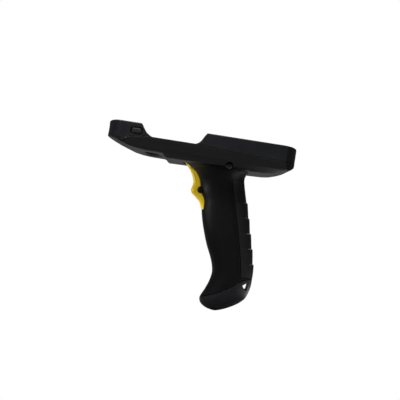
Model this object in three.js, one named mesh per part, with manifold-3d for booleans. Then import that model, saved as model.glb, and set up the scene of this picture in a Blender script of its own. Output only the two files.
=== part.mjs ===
// A pistol-grip trigger handle for a handheld mobile computer, in millimetres.
// X points forward, the way the terminal scans. Y points left. Z is up, square to the terminal seat.
// The origin is the centre of the rubber pad that the terminal rests on, at z = 0.

import * as THREE from 'three';
import { mergeVertices } from 'three/addons/utils/BufferGeometryUtils.js';
import Module from 'manifold-3d';

const wasm = await Module();
wasm.setup();

// ---------------------------------------------------------------- driving dimensions

const GAP = 0.3; // clearance between neighbouring pieces

const HEAD = {
  nose: 89.9, tail: -77.8, half: 42, noseCorner: [13.5, 38], tailCorner: [13.4, 33],
  wall: 2.2, railTop: 7.2, wingTop: 17.6,
};
const BAY = { front: 83, rear: -71.5, half: 37.5, corner: 9, floorTop: -0.4, floorBottom: -2 };
const SADDLE = { front: 34.5, bottom: -7.8, lip: -8.2, bellyFront: -39.6 };
const CAMERA_WINDOW = { x: 49, rx: 7.5, ry: 19, rim: 2.4 };
const SCAN_WINDOW = { half: 23, bottom: 7, top: 14.4, corner: 2 };
const LATCH = {
  x: 62.1, z: 10.5, length: 8.6, height: 4.3, corner: 1.4, in: 38.7, out: 40, face: 42.3,
  rear: 57.1, front: 75.6, half: 2.9, pivotX: 68, pivotY: 39.35, pinRadius: 0.8, barrel: 1.6, play: 0.6,
};
const LATCH_ROOM = { xs: [56.8, 77.2], zs: [7.2, 13.6], out: 41.2 };
const TRIGGER = { x: 10.5, z: -10.5, half: 8, wall: 2.2, pinRadius: 1.25, barrel: 3, pinHalf: 13 };
const SWITCH = { rear: -22, front: -8.3, bottom: -31, top: -23, half: 5, plungerZ: -27, plungerRadius: 1.8 };
const GRIP = { top: -8.1, roundness: 2.6, wall: 2.6, sideWall: 3.4, backWall: 4.2, sides: 24 };
const TONGUE = { xs: [-31, -9], ys: [20, 27], top: -3, root: -14, play: 0.4 };
const STRAP = { top: -17, bottom: -100.6, reach: 11.5, thickness: 1.6, firstStep: -35, pitch: 13.4, step: 1 };
const NECK_SCREW = { x: -20.2, z: -6.4, tip: 21.5, head: 2.6, ring: 3.3, seat: 33, boss: 4.2 };
const SWITCH_POSTS = [[-14.5, -25], [-19, -29]];
const CAP_BOSS = [-31, 0];
const CONTACT = { x: -49, halfX: 3, halfY: 10, top: -0.7, pinPitch: 4, pinRadius: 0.6, pinTop: 0.8 };
const BOARD = { front: -42, rear: -56, half: 16, bottom: -5.4, top: -4.2 };
const GUIDE_BOSS = { x: 0.7, z: -29.7, radius: 3.1, end: 12 };
const LANYARD = { corners: [[-49.9, -108.2], [-53.25, -105.7], [-52.4, -111.5]], radius: 0.9 };
const PAD = { halfX: 35, halfY: 20, corner: 2.7, thickness: 0.6 };
const FRAME_SCREW = { tip: -3.3, shank: 0.8, head: 2, height: 0.7, sunk: 1.1, clearance: 0.3 };
const GRIP_SCREW = { tip: 8, seat: 12.5, shank: 0.9, head: 2.6, height: 1.8, boss: 3.2, pilot: 1.2 };
const CAP_SCREW = { tip: -107, seat: -129.5, shank: 0.9, head: 2.5, height: 2, post: 3.6 };
const PILOT = 8; // sides of a small pilot hole

// ---------------------------------------------------------------- materials

function finish(color, roughness, metalness = 0) {
  return new THREE.MeshStandardMaterial({ color, roughness, metalness });
}

const MATERIALS = {
  housing: finish(0x222226, 0.45),
  grip: finish(0x1a1a1b, 0.5),
  rubber: finish(0x161616, 0.8),
  trigger: finish(0xe0b22c, 0.4),
  latch: finish(0x2b2b2e, 0.5),
  steel: finish(0x9a9c9f, 0.3, 0.9),
  blackened: finish(0x2a2a2c, 0.4, 0.8),
  brass: finish(0xd9b25a, 0.25, 1),
  board: finish(0x1d5b35, 0.5),
  component: finish(0x111112, 0.55),
  insulation: finish(0x8d1c1c, 0.5),
};

// ---------------------------------------------------------------- shape helpers

function solidOf(geometry) {
  const plain = geometry.clone();
  plain.deleteAttribute('normal');
  plain.deleteAttribute('uv');
  const merged = mergeVertices(plain, 1e-4);
  const vertProperties = new Float32Array(merged.attributes.position.array);
  const triVerts = new Uint32Array(merged.index.array);
  return new wasm.Manifold(new wasm.Mesh({ numProp: 3, vertProperties, triVerts }));
}

function geometryOf(solid) {
  const mesh = solid.getMesh();
  const geometry = new THREE.BufferGeometry();
  geometry.setAttribute('position', new THREE.BufferAttribute(mesh.vertProperties, 3));
  geometry.setIndex(new THREE.BufferAttribute(mesh.triVerts, 1));
  geometry.computeVertexNormals();
  return geometry;
}

const AXES = {
  x: new THREE.Matrix4().makeBasis(vec(0, 1, 0), vec(0, 0, 1), vec(1, 0, 0)),
  y: new THREE.Matrix4().makeBasis(vec(1, 0, 0), vec(0, 0, 1), vec(0, -1, 0)),
  z: new THREE.Matrix4(),
};

function vec(x, y, z) {
  return new THREE.Vector3(x, y, z);
}

const outline = (points) => new THREE.Shape(points.map(([u, v]) => new THREE.Vector2(u, v)));

// Extrudes a shape along an axis. The shape is drawn in (y, z) for x, (x, z) for y and (x, y) for z.
function prism(axis, shape, from, to, curveSegments = 2) {
  const drawn = Array.isArray(shape) ? outline(shape) : shape;
  const geometry = new THREE.ExtrudeGeometry(drawn, { depth: to - from, bevelEnabled: false, curveSegments });
  geometry.applyMatrix4(AXES[axis]);
  const start = { x: vec(from, 0, 0), y: vec(0, to, 0), z: vec(0, 0, from) }[axis];
  geometry.translate(start.x, start.y, start.z);
  return solidOf(geometry);
}

function box([x0, x1], [y0, y1], [z0, z1]) {
  const geometry = new THREE.BoxGeometry(x1 - x0, y1 - y0, z1 - z0);
  geometry.translate((x0 + x1) / 2, (y0 + y1) / 2, (z0 + z1) / 2);
  return solidOf(geometry);
}

// A cylinder or cone along an axis through the point at, which gives its other two coordinates.
function rod(axis, at, from, to, radius, endRadius = radius, sides = 14) {
  const geometry = new THREE.CylinderGeometry(endRadius, radius, to - from, sides);
  if (axis === 'x') geometry.rotateZ(-Math.PI / 2);
  if (axis === 'z') geometry.rotateX(Math.PI / 2);
  const middle = (from + to) / 2;
  const centre = { x: vec(middle, ...at), y: vec(at[0], middle, at[1]), z: vec(...at, middle) }[axis];
  geometry.translate(centre.x, centre.y, centre.z);
  return solidOf(geometry);
}

// Joins rings of points, given from the lowest up, each running counter-clockwise seen from above.
function loft(rings) {
  const count = rings[0].length;
  const points = rings.flat();
  const triangles = [];
  for (let level = 0; level < rings.length - 1; level += 1) {
    for (let j = 0; j < count; j += 1) {
      const a = level * count + j;
      const b = level * count + ((j + 1) % count);
      triangles.push(a, b, b + count, a, b + count, a + count);
    }
  }
  for (const [level, turn] of [[0, true], [rings.length - 1, false]]) {
    const centre = new THREE.Vector3();
    rings[level].forEach((point) => centre.addScaledVector(point, 1 / count));
    points.push(centre);
    for (let j = 0; j < count; j += 1) {
      const edge = [level * count + j, level * count + ((j + 1) % count)];
      triangles.push(points.length - 1, ...(turn ? edge.reverse() : edge));
    }
  }
  const geometry = new THREE.BufferGeometry().setFromPoints(points);
  geometry.setIndex(triangles);
  return solidOf(geometry);
}

function sweep(points, radius, steps, sides = 8) {
  const circle = new THREE.Shape();
  circle.absarc(0, 0, radius, 0, 2 * Math.PI);
  const path = new THREE.CatmullRomCurve3(points, false, 'centripetal');
  const settings = { steps, extrudePath: path, bevelEnabled: false, curveSegments: sides / 2 };
  return solidOf(new THREE.ExtrudeGeometry(circle, settings));
}

// A smooth height-to-value function through [height, value] points listed from the top down.
function along(points) {
  return (height) => {
    let i = 0;
    while (i < points.length - 2 && height < points[i + 1][0]) i += 1;
    const last = points.length - 1;
    const near = [points[Math.max(i - 1, 0)], points[i], points[i + 1], points[Math.min(i + 2, last)]];
    const span = near[2][0] - near[1][0];
    const t = THREE.MathUtils.clamp((height - near[1][0]) / span, 0, 1);
    const slope = (p, q) => ((q[1] - p[1]) / (q[0] - p[0])) * span;
    const enter = slope(near[0], near[2]);
    const leave = slope(near[1], near[3]);
    const [h0, h1] = [1 - t * t * (3 - 2 * t), t * t * (3 - 2 * t)];
    return h0 * near[1][1] + h1 * near[2][1] + t * (1 - t) * ((1 - t) * enter - t * leave);
  };
}

function roundedBox(halfU, halfV, radius, u = 0, v = 0) {
  const shape = new THREE.Shape();
  const corners = [[1, 1, 0], [-1, 1, 0.5], [-1, -1, 1], [1, -1, 1.5]];
  for (const [su, sv, turn] of corners) {
    const start = turn * Math.PI;
    shape.absarc(u + su * (halfU - radius), v + sv * (halfV - radius), radius, start, start + Math.PI / 2);
  }
  return shape;
}

const union = (...solids) => solids.reduce((sum, solid) => sum.add(solid));
const cut = (solid, ...tools) => tools.reduce((left, tool) => left.subtract(tool), solid);
const mirrored = (solid) => solid.mirror([0, 1, 0]);

// ---------------------------------------------------------------- the head's envelope

// The head's plan: straight sides, and nose and tail corners that are quarter ellipses.
function headPlan(inset) {
  const half = HEAD.half - inset;
  const [noseX, noseY] = HEAD.noseCorner.map((r) => r - inset * 0.6);
  const [tailX, tailY] = HEAD.tailCorner.map((r) => r - inset * 0.6);
  const front = HEAD.nose - inset - noseX;
  const rear = HEAD.tail + inset + tailX;
  const shape = new THREE.Shape();
  shape.absellipse(front, half - noseY, noseX, noseY, 0, Math.PI / 2);
  shape.absellipse(rear, half - tailY, tailX, tailY, Math.PI / 2, Math.PI);
  shape.absellipse(rear, tailY - half, tailX, tailY, Math.PI, 1.5 * Math.PI);
  shape.absellipse(front, noseY - half, noseX, noseY, 1.5 * Math.PI, 2 * Math.PI);
  return shape;
}

// The head's underside along the centre: chin, flat front, saddle for the grip, belly and tail.
function headSide(inset) {
  const top = HEAD.wingTop + 10;
  const bottom = [
    [HEAD.nose + 1, 5.3], [79.4, 1.4], [67.3, -2.7], [60, -4], [52.6, -4.6], [38, -4.8],
    [SADDLE.front, SADDLE.lip], [20.5, SADDLE.lip], [20.5, SADDLE.bottom],
    [SADDLE.bellyFront, SADDLE.bottom], [SADDLE.bellyFront, -8.5], [-54, -7.9], [-60.5, -6.9],
    [-67.5, -4.6], [-73.4, -2], [-76.4, 0.6], [HEAD.tail - 1, 5.2],
  ];
  const raised = bottom.map(([x, z]) => [x, z + inset]);
  return [...raised, [HEAD.tail - 1, top], [HEAD.nose + 1, top]];
}

// The head's cross-section: steep flanks down to a crease, then slopes that run in to the saddle and belly.
function headSection(inset) {
  const top = HEAD.wingTop + 10;
  const half = HEAD.half - inset;
  const right = [
    [half, top], [half, 4.2], [39.8 - inset * 0.9, -3 + inset * 0.6], [34 - inset * 0.7, -7.9 + inset * 0.75],
    [26, -12 + inset],
  ];
  return [...right, ...right.map(([y, z]) => [-y, z]).reverse()];
}

function headSolid(inset) {
  const plan = prism('z', headPlan(inset), -20, 40, 4);
  const side = prism('y', headSide(inset), -60, 60);
  const section = prism('x', headSection(inset), -100, 110);
  return plan.intersect(side).intersect(section);
}

// Where the frame meets the tub: under the nose, along the rails' tops and under the wings.
const PARTING = [
  [75.4, -3], [75, 1.7], [73.4, 1.9], [68.7, 4.7], [55.3, 6.8], [50, HEAD.railTop], [11, HEAD.railTop],
  [2.6, 6.5], [-46, 3.9], [HEAD.tail - 5, 4.1],
];

const belowParting = () => prism('y', [...PARTING, [HEAD.tail - 5, -30], [75.4, -30]], -60, 60);
const aboveParting = () => {
  const raised = PARTING.map(([x, z]) => [x + (x > 74 ? GAP : 0), z + GAP]);
  return prism('y', [[HEAD.nose + 5, -3], ...raised, [HEAD.tail - 5, 40], [HEAD.nose + 5, 40]], -60, 60);
};

// The frame's upper outline seen from the side: tall nose, low rails and tall rear wings.
const topProfile = () => prism('y', [
  [HEAD.nose + 5, 17.5], [58.5, 17.5], [56.6, 14.2], [54.1, 9.9], [52.4, 8.1], [49.7, HEAD.railTop],
  [11.2, HEAD.railTop], [8.7, 8.3], [6.5, 10.6], [4.6, 14.3], [2.5, HEAD.wingTop],
  [HEAD.tail - 5, HEAD.wingTop], [HEAD.tail - 5, -30], [HEAD.nose + 5, -30],
], -60, 60);

// ---------------------------------------------------------------- shared features of the head

const FRAME_SCREWS = [[57, 30], [57, -30], [-63, 27], [-63, -27]];
const BOARD_SCREWS = [[-49, 13.2], [-49, -13.2]];

const cameraOval = (growth, from, to) => {
  const shape = new THREE.Shape();
  shape.absellipse(CAMERA_WINDOW.x, 0, CAMERA_WINDOW.rx + growth, CAMERA_WINDOW.ry + growth, 0, 2 * Math.PI);
  return prism('z', shape, from, to, 12);
};

// The sloping rim of the camera window, which opens downward.
function cameraBevel() {
  const ring = (growth, z) => Array.from({ length: 24 }, (_, j) => {
    const turn = (j / 24) * 2 * Math.PI;
    return vec(
      CAMERA_WINDOW.x + (CAMERA_WINDOW.rx + growth) * Math.cos(turn),
      (CAMERA_WINDOW.ry + growth) * Math.sin(turn),
      z,
    );
  });
  return loft([ring(CAMERA_WINDOW.rim + 0.4, -5.4), ring(0, -3.2)]);
}

const latchRecess = () => box(LATCH_ROOM.xs, [BAY.half - 2, LATCH_ROOM.out], LATCH_ROOM.zs);
const latchWindow = () => {
  const { x, z, length, height, corner, play } = LATCH;
  return prism('y', roundedBox(length / 2 + play, height / 2 + play, corner + play, x, z), 40, 43);
};
const latchPinBore = () => {
  const { pivotX, pivotY, pinRadius } = LATCH;
  return rod('z', [pivotX, pivotY], BAY.floorBottom - 1, 15.6, pinRadius + 0.2);
};

// ---------------------------------------------------------------- head pieces

// The space for the terminal. Its floor ramps up at both ends and along both sides, as the underside does.
function terminalBay() {
  const middle = (BAY.front + BAY.rear) / 2;
  const plan = prism('z', roundedBox((BAY.front - BAY.rear) / 2, BAY.half, BAY.corner, middle), -10, 40, 3);
  const side = prism('y', [
    [BAY.rear - 1, 1.7], [-67.5, BAY.floorTop], [58, BAY.floorTop], [67.3, 1.6], [79.4, 5.6], [84, 7.3],
    [84, 40], [BAY.rear - 1, 40],
  ], -60, 60);
  const chamfered = [[BAY.half + 1, 40], [BAY.half + 1, 3.6], [33.5, BAY.floorTop]];
  const section = prism('x', [...chamfered, ...chamfered.map(([y, z]) => [-y, z]).reverse()], -100, 110);
  return plan.intersect(side).intersect(section);
}

function upperFrame() {
  const lining = cut(headSolid(HEAD.wall + GAP), box([-100, 100], [-60, 60], [-40, BAY.floorBottom]));
  const { half, bottom, top, corner } = SCAN_WINDOW;
  const scanShape = roundedBox(half, (top - bottom) / 2, corner, 0, (top + bottom) / 2);
  const padShape = roundedBox(PAD.halfX + GAP, PAD.halfY + GAP, PAD.corner + GAP);
  const screwSeat = BAY.floorTop - FRAME_SCREW.sunk;
  const tools = [
    terminalBay(),
    prism('x', scanShape, BAY.front - 4, HEAD.nose + 4),
    cameraOval(1, BAY.floorBottom - 1, 1),
    prism('z', padShape, BAY.floorTop - PAD.thickness - GAP, 1),
    box([CONTACT.x - CONTACT.halfX - GAP, CONTACT.x + CONTACT.halfX + GAP],
      [-CONTACT.halfY - GAP, CONTACT.halfY + GAP], [-4, 1]),
  ];
  for (const [x, y] of FRAME_SCREWS) {
    tools.push(rod('z', [x, y], BAY.floorBottom - 1, 1, FRAME_SCREW.shank + 0.5));
    tools.push(rod('z', [x, y], screwSeat, 1, FRAME_SCREW.head + FRAME_SCREW.clearance));
  }
  for (const tool of [latchRecess(), latchWindow(), latchPinBore()]) tools.push(tool, mirrored(tool));
  const shell = union(headSolid(0).intersect(aboveParting()), lining).intersect(topProfile());
  return cut(shell, ...tools);
}

function lowerTub() {
  const shell = cut(headSolid(0).intersect(belowParting()), headSolid(HEAD.wall));
  const tongueRoom = TONGUE.ys[1] + TONGUE.play;
  const neckBoss = rod('y', [NECK_SCREW.x, NECK_SCREW.z], tongueRoom + GAP, 40, NECK_SCREW.boss)
    .intersect(headSolid(0))
    .intersect(box([-40, 0], [0, 60], [-20, BAY.floorBottom - 0.4]));
  const extras = [neckBoss, mirrored(neckBoss)];
  for (const [x, y] of FRAME_SCREWS) {
    extras.push(rod('z', [x, y], -9, BAY.floorBottom - GAP, 2.6).intersect(headSolid(0)));
  }
  for (const [x, y] of BOARD_SCREWS) {
    extras.push(rod('z', [x, y], -9, BOARD.bottom - GAP, 2.2).intersect(headSolid(0)));
  }
  const tools = [
    cameraOval(0, -6, 0),
    cameraBevel(),
    box([TONGUE.xs[0] - TONGUE.play, TONGUE.xs[1] + TONGUE.play], [-tongueRoom, tongueRoom], [-9, -4.8]),
    box([5, 20.2], [-TRIGGER.half - 0.6, TRIGGER.half + 0.6], [-9, -4]),
  ];
  const neckBore = union(
    rod('y', [NECK_SCREW.x, NECK_SCREW.z], 25, 40, 1.5),
    rod('y', [NECK_SCREW.x, NECK_SCREW.z], NECK_SCREW.seat, 44, NECK_SCREW.ring, NECK_SCREW.ring, 20),
  );
  tools.push(neckBore, mirrored(neckBore));
  for (const [x, y] of FRAME_SCREWS) tools.push(rod('z', [x, y], -3.6, 0, 1.1, undefined, 8));
  for (const [x, y] of BOARD_SCREWS) tools.push(rod('z', [x, y], -7.5, 0, 1, undefined, 8));
  return cut(union(shell, ...extras), ...tools);
}

function seatPad() {
  return prism('z', roundedBox(PAD.halfX, PAD.halfY, PAD.corner), BAY.floorTop - PAD.thickness, 0);
}

const contactPinYs = [-1.5, -0.5, 0.5, 1.5].map((place) => place * CONTACT.pinPitch);

function contactBlock() {
  const { x, halfX, halfY, top } = CONTACT;
  const block = prism('z', roundedBox(halfX, halfY, 0.8, x), BOARD.top + GAP, top);
  const bore = (y) => rod('z', [x, y], BOARD.top + 0.8, 1, CONTACT.pinRadius + 0.2, undefined, PILOT);
  return cut(block, ...contactPinYs.map(bore));
}

// A plated contact pin: a barrel with a domed tip, turned about its own axis.
function contactPin(y) {
  const { x, pinRadius, pinTop } = CONTACT;
  const foot = BOARD.top + 2.1;
  const dome = [[pinRadius, pinTop - 0.45], [pinRadius * 0.7, pinTop - 0.12], [0, pinTop]];
  const profile = [[0, foot], [pinRadius, foot], ...dome];
  const geometry = new THREE.LatheGeometry(profile.map(([r, h]) => new THREE.Vector2(r, h)), 8);
  geometry.rotateX(Math.PI / 2);
  geometry.translate(x, y, 0);
  return solidOf(geometry);
}

function contactBoard() {
  const plate = box([BOARD.rear, BOARD.front], [-BOARD.half, BOARD.half], [BOARD.bottom, BOARD.top]);
  return cut(plate, ...BOARD_SCREWS.map(([x, y]) => rod('z', [x, y], -7, -2, 1.2, undefined, 8)));
}

function leadConnector() {
  return box([BOARD.front - 3.4, BOARD.front - 0.4], [1.4, 7.4], [BOARD.top + GAP, BOARD.top + 1.9]);
}

// ---------------------------------------------------------------- release latches

// The left latch: a rocker on an upright pin, with a push button behind the pin and a hook ahead of it.
function releaseLatch() {
  const { x, z, length, height, corner, rear, front, half, pivotX, pivotY, pinRadius } = LATCH;
  const lever = box([rear, front], [LATCH.in, LATCH.out], [z - half, z + half]);
  const button = prism('y', roundedBox(length / 2, height / 2, corner, x, z), LATCH.out - 0.5, LATCH.face);
  const barrel = rod('z', [pivotX, pivotY], z - half, z + half, LATCH.barrel);
  const claw = [[front - 2.6, 39], [front, 39], [front, 36.4], [front - 0.8, 36.4]];
  const hook = prism('z', claw, z - half + 0.5, z + half - 0.5);
  const bore = rod('z', [pivotX, pivotY], 0, 20, pinRadius + 0.2, undefined, 10);
  return cut(union(lever, button, barrel, hook), bore);
}

const latchPin = () => rod('z', [LATCH.pivotX, LATCH.pivotY], 5.8, 15.2, LATCH.pinRadius, undefined, 10);

// A leaf spring between the rocker's hook arm and the nose wall.
function latchSpring() {
  const bow = new THREE.Shape();
  bow.moveTo(70.4, 40.35);
  bow.quadraticCurveTo(73, 41.45, 75.6, 40.35);
  bow.lineTo(75.6, 40.6);
  bow.quadraticCurveTo(73, 41.7, 70.4, 40.6);
  return prism('z', bow, LATCH.z - 2, LATCH.z + 2, 5);
}

// ---------------------------------------------------------------- grip

const gripFront = along([
  [-8, 17.2], [-10.2, 13.2], [-14.8, 7.6], [-19.6, 4.5], [-25, 3.1], [-31, 1.9], [-38.3, -2.3], [-46.8, -2.7],
  [-56.5, -4.9], [-67, -8.2], [-77.4, -12.1], [-87.6, -16.9], [-95, -19.6], [-101.7, -20.6], [-109.2, -19.3],
  [-116.9, -16.5], [-123.5, -13.4], [-126.6, -13], [-130.1, -14.9], [-133, -19.5], [-134.5, -25],
]);
const gripBack = along([
  [-8, -39.2], [-11.1, -37.5], [-15, -36.9], [-20.2, -37.9], [-34.3, -41.8], [-48.3, -45.7], [-62.4, -49.4],
  [-74.7, -52.6], [-87.1, -55.4], [-96, -56.9], [-103, -57.3], [-108.8, -57], [-116.4, -55.1], [-120.9, -52.7],
  [-125.3, -47.9], [-128.5, -42.9], [-131.2, -37.8], [-133.1, -33.4], [-134.5, -29.5],
]);
const gripHalf = along([
  [-8, 33.7], [-9.5, 29.6], [-12, 25.8], [-15.5, 22.2], [-20, 19.2], [-27, 17], [-50, 16], [-100, 16.4],
  [-116, 16], [-124, 14.6], [-129, 12], [-132, 8.8], [-133.8, 5], [-134.5, 2.4],
]);

// One horizontal slice of the grip: a superellipse from its back to its front.
function gripRing(z, inset, bulge = 0) {
  const front = gripFront(z) - inset.front;
  const back = gripBack(z) + inset.back;
  const half = gripHalf(z) - inset.side;
  const power = 2 / GRIP.roundness;
  return Array.from({ length: GRIP.sides }, (_, j) => {
    const turn = (j / GRIP.sides) * 2 * Math.PI;
    const [c, s] = [Math.cos(turn), Math.sin(turn)];
    const x = (front + back) / 2 + ((front - back) / 2) * Math.sign(c) * Math.abs(c) ** power;
    const y = half * Math.sign(s) * Math.abs(s) ** power;
    const rear = Math.max(0, -c);
    return vec(x - bulge * rear ** 0.5, y + bulge * 0.5 * rear * Math.sign(s), z);
  });
}

const GRIP_LEVELS = [
  -134.5, -133.4, -131.5, -128.5, -124, -118, -110, -102, -92, -80, -66, -52, -42, -34, -27, -21, -16, -12.5, -10,
  GRIP.top,
];
const evenInset = (t) => ({ front: t, back: t, side: t });
const NO_INSET = evenInset(0);

const gripSolid = () => loft(GRIP_LEVELS.map((z) => gripRing(z, NO_INSET)));

// The hollow inside the grip. It runs on up past the top, so that the grip is open to the tub.
function gripCavity() {
  const inset = { front: GRIP.wall, back: GRIP.backWall, side: GRIP.sideWall };
  const levels = GRIP_LEVELS.filter((z) => z > -129);
  const rings = levels.map((z) => gripRing(z, inset));
  const topRing = gripRing(GRIP.top, inset).map((point) => vec(point.x, point.y, 4));
  return loft([...rings, topRing]);
}

// Where the base cap meets the grip shells, from the front edge to the back edge.
const CAP_SEAM = [
  [0, -128.5], [-12.6, -124.1], [-27.4, -117.8], [-40.6, -109.7], [-47.4, -104.3], [-53, -101.6], [-66, -100.8],
];
const aboveSeam = () => prism('y', [...CAP_SEAM, [-66, 10], [30, 10], [30, -128.5]], -40, 40);
const belowSeam = () => {
  const lowered = CAP_SEAM.map(([x, z]) => [x, z - GAP]);
  return prism('y', [...lowered, [-66, -150], [0, -150]], -40, 40);
};

// The strip that wraps the grip's back, seen from the side.
function strapZone(growth) {
  const edge = [];
  const [low, high] = [STRAP.bottom - growth, STRAP.top + growth];
  const pieces = 8;
  for (let i = 0; i <= pieces; i += 1) {
    const z = low + ((high - low) * i) / pieces;
    edge.push([gripBack(z) + STRAP.reach + growth, z]);
  }
  return prism('y', [...edge, [-75, high], [-75, low]], -40, 40);
}

// The back strap, with stepped scales that each stand proud at their upper edge.
function gripBackStrap() {
  const rings = [gripRing(STRAP.bottom - 2, NO_INSET)];
  const steps = 5;
  for (let i = steps - 1; i >= 0; i -= 1) {
    const upper = STRAP.firstStep - i * STRAP.pitch;
    const lower = Math.max(upper - STRAP.pitch, STRAP.bottom - 1);
    if (i < steps - 1) rings.push(gripRing(lower + 0.5, NO_INSET, 0));
    rings.push(gripRing((upper + lower) / 2, NO_INSET, STRAP.step * 0.5));
    rings.push(gripRing(upper - 0.3, NO_INSET, STRAP.step));
  }
  for (const z of [STRAP.firstStep + 0.4, -28, -22, STRAP.top + 1]) rings.push(gripRing(z, NO_INSET));
  const inner = loft(GRIP_LEVELS.map((z) => gripRing(z, evenInset(STRAP.thickness))));
  return loft(rings).intersect(strapZone(0)).intersect(aboveSeam()).subtract(inner);
}

const GRIP_SCREWS = [['upper', -28, -45], ['middle', -33, -72], ['lower', -38, -97]];
const TRIGGER_SLOT_BOTTOM = -46.5;

function gripBlank() {
  const core = loft(GRIP_LEVELS.map((z) => gripRing(z, evenInset(STRAP.thickness + GAP))));
  const pocket = strapZone(GAP).subtract(core);
  const slot = box([-20, 30], [-TRIGGER.half - 0.4, TRIGGER.half + 0.4], [TRIGGER_SLOT_BOTTOM, 0]);
  return cut(gripSolid().intersect(aboveSeam()), gripCavity(), pocket, slot);
}

// The block that rises into the tub beside the opening, and takes the neck screw.
function neckTongue() {
  const { xs, ys, top, root } = TONGUE;
  return union(box(xs, ys, [GRIP.top - 0.05, top]), box(xs, ys, [root, GRIP.top]).intersect(gripSolid()));
}

// What both shells have, drawn for the left one: the tongue, screw bosses and the boss beside the trigger.
function halfFeatures() {
  const boss = ([, x, z]) => (
    rod('y', [x, z], GAP / 2, 18, GRIP_SCREW.boss, undefined, 12).intersect(gripSolid())
  );
  const { radius, end } = GUIDE_BOSS;
  const guide = rod('y', [GUIDE_BOSS.x, GUIDE_BOSS.z], TRIGGER.half + 0.5, end, radius, undefined, 18);
  return union(neckTongue(), guide, ...GRIP_SCREWS.map(boss));
}

const LEFT_HALF = [[-90, 40], [GAP / 2, 60], [-150, 10]];

function gripShellLeft(blank) {
  const post = (at) => rod('y', at, -3.5, 16, 1.2, undefined, PILOT).intersect(gripSolid());
  const capBoss = union(
    rod('z', CAP_BOSS, -115.2, -104, 3),
    box([CAP_BOSS[0] - 1.5, CAP_BOSS[0] + 1.5], [0, 15], [-113, -104]).intersect(gripSolid()),
  );
  const half = union(blank.intersect(box(...LEFT_HALF)), halfFeatures(), ...SWITCH_POSTS.map(post), capBoss);
  const pilots = GRIP_SCREWS.map(([, x, z]) => rod('y', [x, z], -1, 12, GRIP_SCREW.pilot, undefined, PILOT));
  return cut(
    half, ...pilots,
    rod('z', CAP_BOSS, -118, -106, 1.2, undefined, PILOT),
    rod('y', [NECK_SCREW.x, NECK_SCREW.z], 18, 29, 1.25, undefined, PILOT),
    rod('y', [TRIGGER.x, TRIGGER.z], 0, TRIGGER.pinHalf + GAP, TRIGGER.pinRadius + 0.2),
  );
}

function gripShellRight(blank) {
  const half = union(mirrored(blank).intersect(box(...LEFT_HALF)), halfFeatures());
  const tools = GRIP_SCREWS.flatMap(([, x, z]) => [
    rod('y', [x, z], -1, 30, 1.7, undefined, 10), rod('y', [x, z], GRIP_SCREW.seat, 30, 3, undefined, 16),
  ]);
  tools.push(
    rod('z', CAP_BOSS, -118, -100, 3.4),
    rod('y', [NECK_SCREW.x, NECK_SCREW.z], 18, 29, 1.25, undefined, PILOT),
    rod('y', [TRIGGER.x, TRIGGER.z], 0, TRIGGER.pinHalf + GAP, TRIGGER.pinRadius + 0.2),
  );
  return mirrored(cut(half, ...tools));
}

// A rounded triangle with one corner down, for a wrist strap. Each corner's arc faces away from the middle.
function lanyardHole() {
  const { corners, radius } = LANYARD;
  const mean = (axis) => corners.reduce((sum, corner) => sum + corner[axis] / corners.length, 0);
  const middle = [mean(0), mean(1)];
  const shape = new THREE.Shape();
  for (const [x, z] of corners) {
    const away = Math.atan2(z - middle[1], x - middle[0]);
    shape.absarc(x, z, radius, away - Math.PI / 3, away + Math.PI / 3);
  }
  return prism('y', shape, -30, 30, 3);
}

function baseCap() {
  const levels = GRIP_LEVELS.filter((z) => z > -132 && z < -90);
  const pocket = loft(levels.map((z) => gripRing(z, evenInset(GRIP.wall + 0.4))))
    .intersect(box([-44, 0], [-40, 40], [-150, -90]));
  const post = rod('z', CAP_BOSS, -134, -118, CAP_SCREW.post).intersect(gripSolid());
  const hollow = cut(gripSolid().intersect(belowSeam()), pocket);
  return cut(
    union(hollow, post.intersect(belowSeam())), lanyardHole(),
    rod('z', CAP_BOSS, -140, -110, 1.5, undefined, 10),
    rod('z', CAP_BOSS, -140, CAP_SCREW.seat, 2.9, undefined, 16),
  );
}

// ---------------------------------------------------------------- trigger and switch

const TRIGGER_FRONT = [
  [19.4, -6.1], [16.9, -8.7], [13.9, -11.8], [11.6, -15.1], [9.8, -18.9], [8.6, -22.5], [8.4, -25.6], [9.3, -29.3],
  [8.8, -32.7], [5.1, -35.9], [1.3, -39.1], [-1, -42.9], [-2.1, -46.2],
];
const TRIGGER_BACK = [
  [-9.5, -46.2], [-8, -41], [-3.4, -34.5], [-1, -27], [1.6, -20], [5.2, -13.6], [8.4, -9], [15.4, -5.9],
];

function splinePoints(points, count) {
  const curve = new THREE.SplineCurve(points.map(([x, z]) => new THREE.Vector2(x, z)));
  return curve.getPoints(count).map((point) => [point.x, point.y]);
}

function triggerLever() {
  const { x, z, half, wall, pinRadius, barrel } = TRIGGER;
  const front = splinePoints(TRIGGER_FRONT, 24);
  const back = splinePoints(TRIGGER_BACK, 8);
  const body = prism('y', [...front, ...back], -half, half);
  const inner = front.map(([px, pz]) => [px - wall * 1.25, pz - wall * 0.2]);
  const hollow = prism('y', [...inner.slice(3), [-14, -48], [-14, -20], [0, -11]], wall - half, half - wall);
  const rib = box([-1, 6], [-3, 3], [SWITCH.plungerZ - 1.6, SWITCH.plungerZ + 1.6]);
  const ears = rod('y', [x, z], -half, half, barrel);
  const springRoom = rod('y', [x, z], -4.2, 4.2, barrel + 0.7);
  const bore = rod('y', [x, z], -20, 20, pinRadius + 0.2);
  return cut(union(cut(union(body, ears), hollow), rib), springRoom, bore);
}

function triggerPin() {
  const { x, z, pinHalf, pinRadius } = TRIGGER;
  return rod('y', [x, z], -pinHalf, pinHalf, pinRadius);
}

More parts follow.
